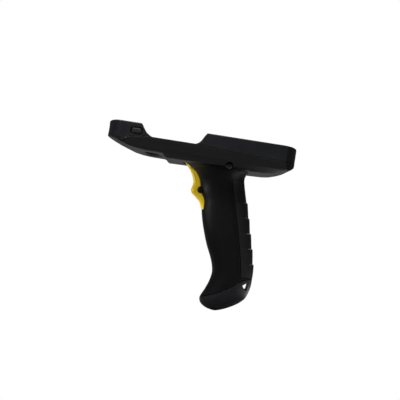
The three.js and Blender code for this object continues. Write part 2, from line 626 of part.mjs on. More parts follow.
// A torsion spring round the trigger pin. One leg presses on the trigger, the other runs back into the grip.
function triggerSpring() {
  const { x, z } = TRIGGER;
  const [radius, turns, perTurn, halfLength] = [2.1, 4, 8, 2.8];
  const points = [vec(x - 5, -halfLength, z - 7.5)];
  for (let i = 0; i <= turns * perTurn; i += 1) {
    const turn = Math.PI - (i / perTurn) * 2 * Math.PI;
    const y = -halfLength + (2 * halfLength * i) / (turns * perTurn);
    points.push(vec(x + radius * Math.cos(turn), y, z + radius * Math.sin(turn)));
  }
  points.push(vec(x - 6, halfLength, z + 1));
  return sweep(points, 0.3, 64, 6);
}

function switchBody() {
  const { rear, front, bottom, top, half, plungerZ, plungerRadius } = SWITCH;
  const block = box([rear, front], [-half, half], [bottom, top]);
  const tabs = [-2.6, 2.6].map((y) => box([rear - 3, rear + 1], [y - 1, y + 1], [bottom + 3, bottom + 3.8]));
  const holes = SWITCH_POSTS.map((at) => rod('y', at, -8, 8, 1.5, undefined, PILOT));
  const bore = rod('x', [0, plungerZ], front - 4.2, front + 1, plungerRadius + GAP, undefined, 10);
  return cut(union(block, ...tabs), ...holes, bore);
}

function switchPlunger() {
  const { front, plungerZ, plungerRadius } = SWITCH;
  return rod('x', [0, plungerZ], front - 1, -1 - GAP, plungerRadius, undefined, 10);
}

const switchLead = () => sweep([
  vec(SWITCH.rear - 3.5, 2.6, -27.6), vec(-27.4, 2.8, -26.4), vec(-28.6, 3, -22), vec(-28.8, 3.2, -15),
  vec(-29, 3.5, -9), vec(-29.5, 3.8, -6), vec(-31.2, 4.1, -4), vec(-34.5, 4.3, -3.5), vec(-38, 4.4, -3.4),
  vec(BOARD.front + 0.1, 4.4, -3.2),
], 0.55, 22);

// ---------------------------------------------------------------- screws

// A pan-head screw along an axis. Its shank runs from tip to seat, and its head on from the seat.
function screw(axis, at, tip, seat, shank, head, headHeight) {
  const way = Math.sign(seat - tip);
  const end = seat + way * headHeight;
  const bar = (a, b, ra, rb, sides) => (
    a < b ? rod(axis, at, a, b, ra, rb, sides) : rod(axis, at, b, a, rb, ra, sides)
  );
  const slot = bar(end - way * headHeight * 0.55, end + way, head * 0.42, head * 0.42, 6);
  return cut(union(bar(tip, seat + way * 0.1, shank, shank, 8), bar(seat, end, head, head * 0.86, 14)), slot);
}

// ---------------------------------------------------------------- assembly

const handle = new THREE.Group();

function add(name, solid, material) {
  const mesh = new THREE.Mesh(geometryOf(solid), MATERIALS[material]);
  mesh.name = name;
  handle.add(mesh);
}

add('upper_frame', upperFrame(), 'housing');
add('lower_tub', lowerTub(), 'housing');
add('seat_pad', seatPad(), 'rubber');

const blank = gripBlank();
add('grip_shell_left', gripShellLeft(blank), 'grip');
add('grip_shell_right', gripShellRight(blank), 'grip');
add('grip_back_strap', gripBackStrap(), 'rubber');
add('base_cap', baseCap(), 'housing');

add('trigger', triggerLever(), 'trigger');
add('trigger_pin', triggerPin(), 'steel');
add('trigger_spring', triggerSpring(), 'steel');
add('switch_body', switchBody(), 'component');
add('switch_plunger', switchPlunger(), 'trigger');
add('switch_lead', switchLead(), 'insulation');

add('contact_board', contactBoard(), 'board');
add('contact_block', contactBlock(), 'component');
add('lead_connector', leadConnector(), 'component');
contactPinYs.forEach((y, i) => add(`contact_pin_${i + 1}`, contactPin(y), 'brass'));

const neckScrew = screw(
  'y', [NECK_SCREW.x, NECK_SCREW.z], NECK_SCREW.tip, NECK_SCREW.seat + GAP, 0.95, NECK_SCREW.head, 1.6,
);
for (const [side, place] of [['left', (solid) => solid], ['right', mirrored]]) {
  add(`release_latch_${side}`, place(releaseLatch()), 'latch');
  add(`latch_pin_${side}`, place(latchPin()), 'steel');
  add(`latch_spring_${side}`, place(latchSpring()), 'steel');
  add(`neck_screw_${side}`, place(neckScrew), 'blackened');
}
FRAME_SCREWS.forEach((at, i) => {
  const { tip, shank, head, height, sunk } = FRAME_SCREW;
  const seat = BAY.floorTop - sunk + GAP;
  add(`frame_screw_${i + 1}`, screw('z', at, tip, seat, shank, head, height), 'blackened');
});
BOARD_SCREWS.forEach((at, i) => {
  add(`board_screw_${i + 1}`, screw('z', at, -7.2, BOARD.top + GAP, 0.7, 1.8, 1), 'steel');
});
for (const [place, x, z] of GRIP_SCREWS) {
  const { tip, seat, shank, head, height } = GRIP_SCREW;
  add(`grip_screw_${place}`, screw('y', [x, z], tip, -seat - GAP, shank, head, height), 'blackened');
}
const capScrew = screw(
  'z', CAP_BOSS, CAP_SCREW.tip, CAP_SCREW.seat - GAP, CAP_SCREW.shank, CAP_SCREW.head, CAP_SCREW.height,
);
add('base_cap_screw', capScrew, 'blackened');

export default handle;
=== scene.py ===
"""Looks for a pistol-grip trigger handle: moulded cradle, grip, trigger and release latches.

Shapes are worked out in millimetres: x forward, y left, z up from the seat that a terminal rests on.
A way is 1 on the left side and -1 on the right.
"""
import math

import bmesh
import bpy
from mathutils import Matrix, Vector


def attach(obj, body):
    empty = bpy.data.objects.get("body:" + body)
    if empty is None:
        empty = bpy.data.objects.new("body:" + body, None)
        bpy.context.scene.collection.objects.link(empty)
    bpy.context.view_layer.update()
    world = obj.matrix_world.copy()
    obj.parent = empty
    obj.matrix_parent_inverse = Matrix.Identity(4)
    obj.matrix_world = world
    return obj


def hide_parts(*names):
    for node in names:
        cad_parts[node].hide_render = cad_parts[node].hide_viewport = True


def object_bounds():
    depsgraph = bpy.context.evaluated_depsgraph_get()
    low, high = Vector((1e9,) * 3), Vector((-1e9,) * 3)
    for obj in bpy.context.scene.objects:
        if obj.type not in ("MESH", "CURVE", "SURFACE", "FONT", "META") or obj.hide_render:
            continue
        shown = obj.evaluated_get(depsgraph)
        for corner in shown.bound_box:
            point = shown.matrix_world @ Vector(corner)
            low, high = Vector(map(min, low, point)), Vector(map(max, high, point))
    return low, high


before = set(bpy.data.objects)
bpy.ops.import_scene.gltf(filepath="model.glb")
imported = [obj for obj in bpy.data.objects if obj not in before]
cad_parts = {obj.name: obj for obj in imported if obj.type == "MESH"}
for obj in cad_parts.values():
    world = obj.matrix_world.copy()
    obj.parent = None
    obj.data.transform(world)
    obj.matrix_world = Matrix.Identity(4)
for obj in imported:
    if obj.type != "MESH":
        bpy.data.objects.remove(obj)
CAD_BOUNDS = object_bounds()

# ---------------------------------------------------------------- driving dimensions, millimetres

MM = 0.001
HEAD = {"nose": 89.9, "tail": -77.8, "half": 42, "nose_corner": (13.5, 38), "tail_corner": (13.4, 33)}
BAY = {"front": 83, "rear": -71.5, "half": 37.5, "corner": 9}
GAP = 0.3
WALL = 2.2
LINING = 2.5
TUB_FRONT = 74.8
TUB_LIP = 0.6
TUB_EDGE = 0.2
NOSE_START = 75.1
BROW = 0.6
RIM_RADIUS = 0.9

KEEL = [
    (-78.8, 5.2), (-76.4, 0.6), (-73.4, -2), (-67.5, -4.6), (-60.5, -6.9), (-54, -7.9), (-40.2, -8.5),
    (-39, -7.8), (20.5, -7.9), (34.5, -8.2), (38, -4.8), (52.6, -4.6), (60, -4), (67.3, -2.7), (79.4, 1.4),
    (90.9, 5.3),
]
PARTING = [
    (-82.4, 4.1), (-46, 3.9), (2.6, 6.5), (11, 7.2), (50, 7.2), (55.3, 6.8), (68.7, 4.7), (73.4, 1.9),
    (75, 1.7),
]
TOP_LINE = [
    (2.5, 17.6), (4.6, 14.3), (6.5, 10.6), (8.7, 8.3), (11.2, 7.2), (48, 7.2), (50.5, 8.1), (52.3, 9.3),
    (54.4, 11.3), (56.6, 14.4), (58.5, 17.5),
]
BAY_KEEL = [(-72.5, 1.7), (-67.5, -0.4), (58, -0.4), (67.3, 1.6), (79.4, 5.6), (84, 7.3)]
BAY_FLANK = [(33.5, -0.4), (38.5, 3.6)]
FLOOR_BOTTOM = -2.0
SADDLE_TOP = -4.6

CAMERA_OVAL = {"x": 49, "rx": 7.5, "ry": 19}
SCAN_WINDOW = {"half": 23, "bottom": 7, "top": 14.4}
BUTTON = {"at": (62.1, 10.5), "half": (4.3, 2.15), "corner": 1.4, "face": 42.3}
LATCH_LEVER = {"at": (66.35, 10.5), "half": (9.25, 2.9), "inner": 38.7, "outer": 40}
LATCH_ROOM = {"rear": 56.8, "middle": 66.5, "front": 77.2, "inner": 35.5, "zs": (7.2, 13.6)}
LATCH_PIN = (68, 39.35)
LATCH_BORE = 1.0
PAD = {"half": (35, 20), "corner": 2.7}
CONTACT = {"at": (-49, 0), "half": (3, 10)}
PIN_YS = (-6, -2, 2, 6)
FRAME_SCREWS = [(57, 30), (57, -30), (-63, 27), (-63, -27)]
NECK_SCREW = (-20.2, -6.4)
NECK_BOSS_RADIUS = 4.2
TONGUE = {"xs": (-31, -9), "ys": (20, 27), "play": 0.4}

TRIGGER_PIVOT = (10.5, -10.5)
TRIGGER_BORE = 1.45
TRIGGER_HALF = 8
TRIGGER_WALL = 2.2
TRIGGER_CORNER = 2.4
TRIGGER_BOSS = 3.0
TRIGGER_RIB = {"xs": (-1, 6), "half_y": 3, "half_z": 1.6}
SPRING_ROOM = {"half_y": 4.2, "radius": 3.7}
TRIGGER_SLOT_BOTTOM = -46.5
TRIGGER_WELL = (5, 20.2)
SWITCH_Z = -27
SWITCH_POSTS = [(-14.5, -25), (-19, -29)]
POST_RADIUS = 1.2
GUIDE_BOSS = (0.7, -29.7)

ROUNDNESS = 2.6
GRIP_TOP = -8.1
GRIP_INSET = (2.6, 4.2, 3.4)
CAVITY = {"bottom": -127, "top": 4}
STRAP = {"top": -17, "bottom": -100.6, "reach": 11.5, "thickness": 1.6}
SCALES = {"count": 5, "top": -35, "pitch": 13.4, "step": 1.0}
GRIP_SCREWS = [("upper", (-28, -45)), ("middle", (-33, -72)), ("lower", (-38, -97))]
SCREW_BOSS = {"radius": 3.2, "reach": 14.5, "pilot": 1.2}
SEAM_BEHIND = 0.15
GROOVE_RADIUS = 0.45
CAP_BOSS = (-31, 0)
CAP_WALL = 3.0
CAP_POCKET = {"bottom": -131, "top": -90, "rear": -44}
CAP_SEAM = [
    (-66, -100.8), (-53, -101.6), (-47.4, -104.3), (-40.6, -109.7), (-27.4, -117.8), (-12.6, -124.1),
    (0, -128.5),
]
LANYARD = [(-49.9, -108.2), (-53.25, -105.7), (-52.4, -111.5)]
LANYARD_RADIUS = 0.9

# Distances from the middle that lie past the grip's sides, and past the head's.
PAST_SIDES = 40
PAST_ALL = 60

GRIP_FRONT = [
    (-8, 17.2), (-10.2, 13.2), (-14.8, 7.6), (-19.6, 4.5), (-25, 3.1), (-31, 1.9), (-38.3, -2.3),
    (-46.5, -2.7), (-56.5, -4.9), (-67, -8.2), (-77.4, -12.1), (-87.6, -16.9), (-95, -19.6),
    (-101.7, -20.6), (-109.2, -19.3), (-116.9, -16.5), (-123.5, -13.4), (-126.6, -13), (-130.1, -14.9),
    (-133, -19.5), (-134.5, -25),
]
GRIP_BACK = [
    (-8, -39.2), (-11.1, -37.5), (-15, -36.9), (-20.2, -37.9), (-34.3, -41.8), (-48.3, -45.7),
    (-62.4, -49.4), (-74.7, -52.6), (-87.1, -55.4), (-96, -56.9), (-103, -57.3), (-108.8, -57),
    (-116.4, -55.1), (-120.9, -52.7), (-125.3, -47.9), (-128.5, -42.9), (-131.2, -37.8), (-133.1, -33.4),
    (-134.5, -29.5),
]
GRIP_HALF = [
    (-8, 33.7), (-9.5, 29.6), (-12, 25.8), (-15.5, 22.2), (-20, 19.2), (-27, 17), (-50, 16), (-100, 16.4),
    (-116, 16), (-124, 14.6), (-129, 12), (-132, 8.8), (-133.8, 5), (-134.5, 2.4),
]
TRIGGER_FRONT = [
    (-6.1, 19.4), (-8.7, 16.9), (-11.8, 13.9), (-15.1, 11.6), (-18.9, 9.8), (-22.5, 8.6), (-25.6, 8.4),
    (-29.3, 9.3), (-32.7, 8.8), (-35.9, 5.1), (-39.1, 1.3), (-42.9, -1), (-46.2, -2.1),
]
TRIGGER_BACK = [
    (-5.9, 15.4), (-9, 8.4), (-13.6, 5.2), (-20, 1.6), (-27, -1), (-34.5, -3.4), (-41, -8), (-46.2, -9.5),
]

# The camera's place and the lights' places are in metres, and its pitch and roll are in degrees.
CAMERA = {"place": (0, 0.650, -0.0521), "pitch": 1.195, "roll": 8.9, "lens": 64.71, "sensor": 36}
FLOOR_HALF = 3.0

# ---------------------------------------------------------------- numbers along a line


def between(points, at):
    """The value at a place on straight lines through (place, value) points with rising places."""
    if at <= points[0][0]:
        return points[0][1]
    for (a, low), (b, high) in zip(points, points[1:]):
        if at <= b:
            return low + (high - low) * (at - a) / (b - a)
    return points[-1][1]


def softened(points, at, reach):
    """The same lines with their corners rounded off over a reach to each side."""
    steps = (-1, -0.5, 0, 0.5, 1)
    return sum(between(points, at + step * reach) for step in steps) / len(steps)


def smooth_max(a, b, blend):
    """The larger of two numbers, eased where they are close."""
    return (a + b + math.hypot(a - b, blend)) / 2


def along(points):
    """A smooth function of height through (height, value) points listed from the top down."""

    def value(height):
        i = 0
        while i < len(points) - 2 and height < points[i + 1][0]:
            i += 1
        near = [points[max(i - 1, 0)], points[i], points[i + 1], points[min(i + 2, len(points) - 1)]]
        length = near[2][0] - near[1][0]
        t = min(max((height - near[1][0]) / length, 0), 1)
        enter = (near[2][1] - near[0][1]) / (near[2][0] - near[0][0]) * length
        leave = (near[3][1] - near[1][1]) / (near[3][0] - near[1][0]) * length
        rise = t * t * (3 - 2 * t)
        return (1 - rise) * near[1][1] + rise * near[2][1] + t * (1 - t) * ((1 - t) * enter - t * leave)

    return value


def steps_between(start, end, count):
    return [start + (end - start) * i / count for i in range(count + 1)]


def span(way, near, far):
    """A range of y on one side, from its near and far distances to the middle."""
    return sorted((way * near, way * far))


def on_side(way, levels):
    """Levels along y on one side, from levels whose first value is a distance to the middle."""
    return [(way * y, *rest) for y, *rest in levels]


# ---------------------------------------------------------------- solids


def solid(vertices, faces):
    """A temporary closed object in millimetres, with its faces turned outward."""
    mesh = bpy.data.meshes.new("solid")
    mesh.from_pydata([tuple(v) for v in vertices], [], faces)
    shape = bmesh.new()
    shape.from_mesh(mesh)
    bmesh.ops.recalc_face_normals(shape, faces=shape.faces)
    shape.to_mesh(mesh)
    shape.free()
    obj = bpy.data.objects.new("solid", mesh)
    bpy.context.scene.collection.objects.link(obj)
    return obj


def loft(rings):
    """A solid through rings of equally many points, closed at both ends."""
    count = len(rings[0])
    last = (len(rings) - 1) * count
    faces = [tuple(range(count)), tuple(range(last, last + count))]
    for start in range(0, last, count):
        for j in range(count):
            k = (j + 1) % count
            faces.append((start + j, start + k, start + count + k, start + count + j))
    return solid([point for ring in rings for point in ring], faces)


PLACES = {
    "x": lambda u, v, w: (w, u, v),
    "y": lambda u, v, w: (u, w, v),
    "z": lambda u, v, w: (u, v, w),
}


def prism(axis, outline, start, end):
    """An outline drawn in (y, z), (x, z) or (x, y) and pulled along the axis."""
    return loft([[PLACES[axis](u, v, w) for u, v in outline] for w in (start, end)])


def box(xs, ys, zs):
    return prism("z", [(xs[0], ys[0]), (xs[1], ys[0]), (xs[1], ys[1]), (xs[0], ys[1])], *zs)


def circle(radius, at=(0, 0), sides=40, stretch=1.0):
    turns = [2 * math.pi * i / sides for i in range(sides)]
    return [(at[0] + radius * math.cos(t), at[1] + radius * stretch * math.sin(t)) for t in turns]


def rod(axis, at, start, end, radius, sides=40):
    return prism(axis, circle(radius, at, sides), start, end)


def turned(axis, at, profile, sides=40):
    """A shape turned about an axis through a point, from (distance along the axis, radius) pairs."""
    return loft([[PLACES[axis](u, v, w) for u, v in circle(radius, at, sides)] for w, radius in profile])


def rounded_outline(half_u, half_v, radius, at=(0, 0), steps=6):
    points = []
    for quarter, (su, sv) in enumerate([(1, 1), (-1, 1), (-1, -1), (1, -1)]):
        for i in range(steps + 1):
            turn = (quarter + i / steps) * math.pi / 2
            u = at[0] + su * (half_u - radius) + radius * math.cos(turn)
            points.append((u, at[1] + sv * (half_v - radius) + radius * math.sin(turn)))
    return points


def pillow(axis, half, levels, at=(0, 0)):
    """A rounded block about half sizes, from (distance along the axis, growth, corner radius) levels."""
    rings = []
    for w, growth, corner in levels:
        outline = rounded_outline(half[0] + growth, half[1] + growth, corner, at)
        rings.append([PLACES[axis](u, v, w) for u, v in outline])
    return loft(rings)


def tube(points, radius, sides=10):
    """A round bar along a line of points, used to cut grooves and to draw wires."""
    points = [Vector(point) for point in points]
    rings = []
    side = None
    for i, point in enumerate(points):
        ahead = (points[min(i + 1, len(points) - 1)] - points[max(i - 1, 0)]).normalized()
        if side is None:
            side = ahead.orthogonal().normalized()
        side = (side - ahead * side.dot(ahead)).normalized()
        over = ahead.cross(side)
        rings.append([point + side * u + over * v for u, v in circle(radius, sides=sides)])
    return loft(rings)


def bake(obj):
    """Applies an object's modifiers to its mesh."""
    bpy.context.view_layer.update()
    mesh = bpy.data.meshes.new_from_object(obj.evaluated_get(bpy.context.evaluated_depsgraph_get()))
    obj.modifiers.clear()
    obj.data = mesh


def boolean(target, operation, tools):
    for tool in tools:
        modifier = target.modifiers.new("boolean", "BOOLEAN")
        modifier.operation = operation
        modifier.solver = "MANIFOLD"
        modifier.object = tool
    bake(target)
    for tool in tools:
        bpy.data.objects.remove(tool)
    return target


def cut(target, *tools):
    return boolean(target, "DIFFERENCE", tools)


def join(target, *tools):
    return boolean(target, "UNION", tools)


def keep(target, *tools):
    return boolean(target, "INTERSECT", tools)


def copied(obj):
    twin = bpy.data.objects.new("solid", obj.data.copy())
    bpy.context.scene.collection.objects.link(twin)
    return twin


# ---------------------------------------------------------------- materials


NOISE_RANGE = (0.3, 0.7)
TINT_NOISE = {"scale": 90, "detail": 5, "roughness": 0.6}
GLOSS_NOISE = {"scale": 35, "detail": 6, "roughness": 0.65}
SURFACE_NOISE = {"detail": 3, "roughness": 0.55}
SWELL = (60, 0.05)
SHARP_DEGREES = 34


def sockets(node, **values):
    """Sets a node's inputs by name, with an underscore for each space."""
    for name, value in values.items():
        node.inputs[name.replace("_", " ")].default_value = value


def noise(tree, scale, detail, roughness):
    place = tree.nodes.new("ShaderNodeTexCoord")
    node = tree.nodes.new("ShaderNodeTexNoise")
    sockets(node, Scale=scale, Detail=detail, Roughness=roughness)
    tree.links.new(place.outputs["Object"], node.inputs["Vector"])
    return node.outputs["Fac"]


def spread(tree, source, low, high):
    """Turns a noise into values from low to high."""
    node = tree.nodes.new("ShaderNodeMapRange")
    sockets(node, From_Min=NOISE_RANGE[0], From_Max=NOISE_RANGE[1], To_Min=low, To_Max=high)
    tree.links.new(source, node.inputs["Value"])
    return node.outputs["Result"]


def tinted(tree, source, low, high):
    """A colour that drifts between two others as a noise does."""
    node = tree.nodes.new("ShaderNodeMix")
    node.data_type = "RGBA"
    node.inputs["A"].default_value = (*low, 1)
    node.inputs["B"].default_value = (*high, 1)
    tree.links.new(spread(tree, source, 0, 1), node.inputs["Factor"])
    return node.outputs["Result"]


def finish(name, colour, roughness, grain, swell=None, drift=0.15, metallic=0.0, specular=0.5, coat=0.0):
    """A moulded or metal finish.

    Its colour drifts a little, its gloss is uneven, and its surface has a fine grain and, for moulded
    parts, a slight swell. Grain and swell are each a scale per metre and a depth in millimetres.
    """
    material = bpy.data.materials.new(name)
    material.use_nodes = True
    tree = material.node_tree
    shader = tree.nodes["Principled BSDF"]
    sockets(shader, Metallic=metallic, Specular_IOR_Level=specular, Coat_Weight=coat, Coat_Roughness=0.25)
    dark = tuple(channel * (1 - drift) for channel in colour)
    light = tuple(channel * (1 + drift) for channel in colour)
    tree.links.new(tinted(tree, noise(tree, **TINT_NOISE), dark, light), shader.inputs["Base Color"])
    tree.links.new(spread(tree, noise(tree, **GLOSS_NOISE), *roughness), shader.inputs["Roughness"])
    normal = None
    for scale, depth in [layer for layer in (swell, grain) if layer]:
        bump = tree.nodes.new("ShaderNodeBump")
        sockets(bump, Strength=1.0, Distance=depth * MM)
        tree.links.new(noise(tree, scale, **SURFACE_NOISE), bump.inputs["Height"])
        if normal is not None:
            tree.links.new(normal, bump.inputs["Normal"])
        normal = bump.outputs["Normal"]
    tree.links.new(normal, shader.inputs["Normal"])
    return material


MATERIALS = {
    "housing": finish(
        "moulded housing", (0.0062, 0.0064, 0.0076), (0.36, 0.46), (1700, 0.02), swell=SWELL, specular=0.28,
    ),
    # The tub is the housing's own plastic. Its colour is set darker than the housing's as painted shade for
    # its downward-facing flanks.
    "tub": finish(
        "moulded tub darkened as painted shade", (0.0038, 0.0039, 0.0044), (0.34, 0.44), (1700, 0.02), swell=SWELL, specular=0.32,
    ),
    "grip": finish("moulded grip", (0.0021, 0.0021, 0.0022), (0.42, 0.52), (2000, 0.04), specular=0.13),
    "rubber": finish("strap rubber", (0.0036, 0.0035, 0.0035), (0.46, 0.58), (2400, 0.05), specular=0.22),
    "trigger": finish(
        "trigger yellow", (0.85, 0.58, 0.014), (0.34, 0.46), (1600, 0.03), drift=0.04, specular=0.3,
    ),
    "latch": finish("latch black", (0.014, 0.014, 0.0155), (0.4, 0.5), (2200, 0.03), specular=0.3),
    "steel": finish("bright steel", (0.55, 0.56, 0.58), (0.22, 0.38), (3000, 0.008), metallic=1.0),
    "screw": finish("blackened screw", (0.06, 0.06, 0.065), (0.3, 0.48), (2600, 0.012), metallic=0.9),
    "contact": finish("gold contact", (0.85, 0.58, 0.2), (0.16, 0.3), (3000, 0.006), metallic=1.0),
    "board": finish("board green", (0.012, 0.09, 0.032), (0.3, 0.45), (900, 0.02), coat=0.4),
    "component": finish("nylon black", (0.011, 0.011, 0.012), (0.45, 0.6), (2200, 0.03)),
    "insulation": finish("lead insulation", (0.3, 0.02, 0.018), (0.35, 0.5), (2200, 0.02)),
}


def smooth(obj):
    """Smooth shading that stays crisp at edges over the sharp angle."""
    obj.data.shade_smooth()
    obj.data.set_sharp_from_angle(angle=math.radians(SHARP_DEGREES))
    modifier = obj.modifiers.new("even normals", "WEIGHTED_NORMAL")
    modifier.keep_sharp = True


def piece(obj, name, body, slot, node):
    """Finishes a solid as a visible piece at real size, with its body and the node it stands for."""
    obj.name = name
    obj.data.name = name
    obj.data.transform(Matrix.Scale(MM, 4))
    smooth(obj)
    obj.data.materials.clear()
    obj.data.materials.append(MATERIALS[slot])
    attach(obj, body)
    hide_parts(node)


# ---------------------------------------------------------------- the head's plan and heights


# A squeeze is the x ahead of which rows close up, and the rate at which they then go on.
NO_SQUEEZE = (0, 1.0)
BAY_SQUEEZE = (72, 0.5)
TUB_SQUEEZE_FROM = 70


def plan(front, rear, half, nose, tail, squeeze):
    """An outline with elliptical corners, each given by its radii along x and y."""
    return {"front": front, "rear": rear, "half": half, "nose": nose, "tail": tail, "squeeze": squeeze}


def head_plan(inset, squeeze=NO_SQUEEZE):
    nose = [radius - 0.6 * inset for radius in HEAD["nose_corner"]]
    tail = [radius - 0.6 * inset for radius in HEAD["tail_corner"]]
    return plan(HEAD["nose"] - inset, HEAD["tail"] + inset, HEAD["half"] - inset, nose, tail, squeeze)


def bay_plan(outset):
    front, rear, half = BAY["front"] + outset, BAY["rear"] - outset, BAY["half"] + outset
    corner = [BAY["corner"] + outset] * 2
    return plan(front, rear, half, corner, corner, BAY_SQUEEZE)


def row_end(shape, row):
    """Where a row meets an outline: its x and half-width. A row is a turn in a corner, or an x between."""
    zone, value = row
    if zone == "tail":
        x = shape["rear"] + shape["tail"][0] * (1 - math.cos(value))
        return x, shape["half"] - shape["tail"][1] * (1 - math.sin(value))
    if zone == "nose":
        x = shape["front"] - shape["nose"][0] * (1 - math.sin(value))
        return x, shape["half"] - shape["nose"][1] * (1 - math.cos(value))
    start, rate = shape["squeeze"]
    return (value if value < start else start + (value - start) * rate), shape["half"]


def underside(x, y, inset=0.0):
    """The height of the head's underside: its keel line, raised at the sides by the flank."""
    flank = [
        (26, -12 + inset), (34 - 0.7 * inset, -7.9 + 0.75 * inset), (39.8 - 0.9 * inset, -3 + 0.6 * inset),
        (42 - inset, 4.2),
    ]
    return smooth_max(softened(KEEL, x, 0.8) + inset, softened(flank, abs(y), 0.6), 0.7)


def parting(x):
    return softened(PARTING, x, 0.4)


def top_line(x):
    return softened(TOP_LINE, x, 0.5)


def bay_floor(x, y):
    return smooth_max(softened(BAY_KEEL, x, 1.2), softened(BAY_FLANK, abs(y), 0.8), 0.4)


CORNER_TURNS = [math.radians(turn) for turn in (0, 9, 18, 28, 38, 48, 58, 66, 73, 78.5, 83, 86.5)]
TAIL_ROWS = [("tail", turn) for turn in CORNER_TURNS]
NOSE_ROWS = [("nose", math.pi / 2 - turn) for turn in reversed(CORNER_TURNS)]
KNOTS = (
    -61, -54, -41, -40.4, -39.8, -39.2, -38.6, 1.4, 2.5, 3.5, 5.3, 6.5, 7.5, 8.7, 9.8, 11.2, 12.3, 33.6,
    34.5, 35.4, 36.3, 37.2, 38.1, 39, 48.6, 49.7, 51, 52.4, 53.2, 54.1, 55.3, 56.6, 57.6, 58.5, 59.4, 67.3,
    69, 71, 73, 74,
)
MIDDLE = sorted(set(range(-62, 66, 2)) | set(KNOTS))
COLUMN_YS = (
    0, 4, 8, 12, 16, 20, 23, 26, 28, 30, 31.5, 33, 34, 35, 36, 37, 38, 38.7, 39.3, 39.8, 40.3, 40.8, 41.3,
    41.7, 42,
)
COLUMNS = [-y / HEAD["half"] for y in reversed(COLUMN_YS[1:])] + [y / HEAD["half"] for y in COLUMN_YS]


def sheet_of(rows, place):
    return [[place(row, u) for u in COLUMNS] for row in rows]


def closed_shell(rows, lower, rings, upper):
    """A solid from a lower sheet, rings that climb from its edge, and an upper sheet.

    Each is a function that gives a place for a row and for u, which runs from -1 to 1 across the row.
    """
    lines, columns = len(rows), len(COLUMNS)
    edge = [(i, columns - 1) for i in range(lines)]
    edge += [(lines - 1, j) for j in range(columns - 2, -1, -1)]
    edge += [(i, 0) for i in range(lines - 2, -1, -1)]
    edge += [(0, j) for j in range(1, columns - 1)]
    vertices = [point for line in sheet_of(rows, lower) for point in line]
    loops = [[i * columns + j for i, j in edge]]
    for place in rings:
        loops.append(list(range(len(vertices), len(vertices) + len(edge))))
        vertices += [place(rows[i], COLUMNS[j]) for i, j in edge]
    start = len(vertices)
    vertices += [point for line in sheet_of(rows, upper) for point in line]
    loops.append([start + i * columns + j for i, j in edge])
    faces = []
    for base in (0, start):
        for i in range(lines - 1):
            for j in range(columns - 1):
                corner = base + i * columns + j
                faces.append((corner, corner + 1, corner + columns + 1, corner + columns))
    for low, high in zip(loops, loops[1:]):
        for a in range(len(low)):
            b = (a + 1) % len(low)
            faces.append((low[a], low[b], high[b], high[a]))
    return solid(vertices, faces)


def edge_ring(shape, height):
    """A ring over an outline, at a height that depends on x and y."""

    def place(row, u):
        x, half = row_end(shape, row)
        return x, u * half, height(x, u * half)

    return place


# ---------------------------------------------------------------- cradle tub


def camera_cone():
    """The sloping rim of the camera window, which opens downward."""
    levels = [(-7.0, 3.9), (-5.4, 2.9), (-4.4, 2.1), (-3.6, 0.8), (-3.2, 0), (0, 0)]
    rings = []
    for z, growth in levels:
        outline = circle(CAMERA_OVAL["rx"] + growth, sides=72)
        stretch = (CAMERA_OVAL["ry"] + growth) / (CAMERA_OVAL["rx"] + growth)
        rings.append([(CAMERA_OVAL["x"] + u, v * stretch, z) for u, v in outline])
    return loft(rings)


TUB_ROWS = TAIL_ROWS + [("middle", x) for x in MIDDLE + [TUB_FRONT]]


def tub_skin(depth):
    """The height of the tub's surface at a depth in its wall, below its rim."""
    return lambda x, y: min(underside(x, y, depth), parting(x) - TUB_LIP)


def tub_plan(inset, set_back):
    """The head's outline inset, with the tub's front end set back by a distance."""
    length = TUB_FRONT - TUB_SQUEEZE_FROM
    return head_plan(inset, (TUB_SQUEEZE_FROM, (length - set_back) / length))


def tub_shell():
    """The tub's wall, with a softened edge along the outside of its rim."""
    soft = 0.3 * TUB_EDGE
    rings = [
        edge_ring(head_plan(0), lambda x, y: parting(x) - TUB_EDGE),
        edge_ring(tub_plan(soft, TUB_EDGE), lambda x, y: parting(x) - soft),
        edge_ring(tub_plan(TUB_EDGE, TUB_EDGE), lambda x, y: parting(x)),
        edge_ring(tub_plan(WALL, WALL), lambda x, y: parting(x)),
    ]
    lower = edge_ring(head_plan(0), tub_skin(0))
    upper = edge_ring(tub_plan(WALL, WALL), tub_skin(WALL))
    return closed_shell(TUB_ROWS, lower, rings, upper)


def tub_blank():
    """The tub's outer form as a full block, to trim what is added inside it."""
    top = edge_ring(head_plan(0), lambda x, y: parting(x))
    return closed_shell(TUB_ROWS, edge_ring(head_plan(0), tub_skin(0)), [], top)


def neck_boss(way):
    """The boss that holds a neck screw's head, from the flank to the tongue and below the floor."""
    post = rod("y", NECK_SCREW, *span(way, 38.5, TONGUE["ys"][1] + 0.7), NECK_BOSS_RADIUS)
    room = box((-40, 0), span(way, 0, PAST_ALL), (-20, FLOOR_BOTTOM - 0.4))
    return keep(post, room, tub_blank())


def neck_bore(way):
    """The hole for a neck screw, with a countersunk mouth where it meets the flank."""
    levels = [(24, 1.5), (33, 1.5), (33, 3.0), (41.5, 3.4)]
    return turned("y", NECK_SCREW, on_side(way, levels), 48)


def grip_opening():
    """The opening in the saddle, through which both tongues rise."""
    play = TONGUE["play"]
    reach = TONGUE["ys"][1] + play
    return box((TONGUE["xs"][0] - play, TONGUE["xs"][1] + play), (-reach, reach), (-12, SADDLE_TOP))


def trigger_well():
    """The opening in the tub for the trigger's top."""
    half = TRIGGER_HALF + 2 * GAP
    return box(TRIGGER_WELL, (-half, half), (-12, -4))


def lower_tub():
    tub = tub_shell()
    join(tub, neck_boss(1))
    join(tub, neck_boss(-1))
    cut(tub, camera_cone(), neck_bore(1), neck_bore(-1), grip_opening())
    return cut(tub, trigger_well())


# ---------------------------------------------------------------- cradle frame


def blended(row, u, first, second, share):
    """A place on the way from one outline to another."""
    (x0, half0), (x1, half1) = row_end(first, row), row_end(second, row)
    return x0 + (x1 - x0) * share, u * (half0 + (half1 - half0) * share)


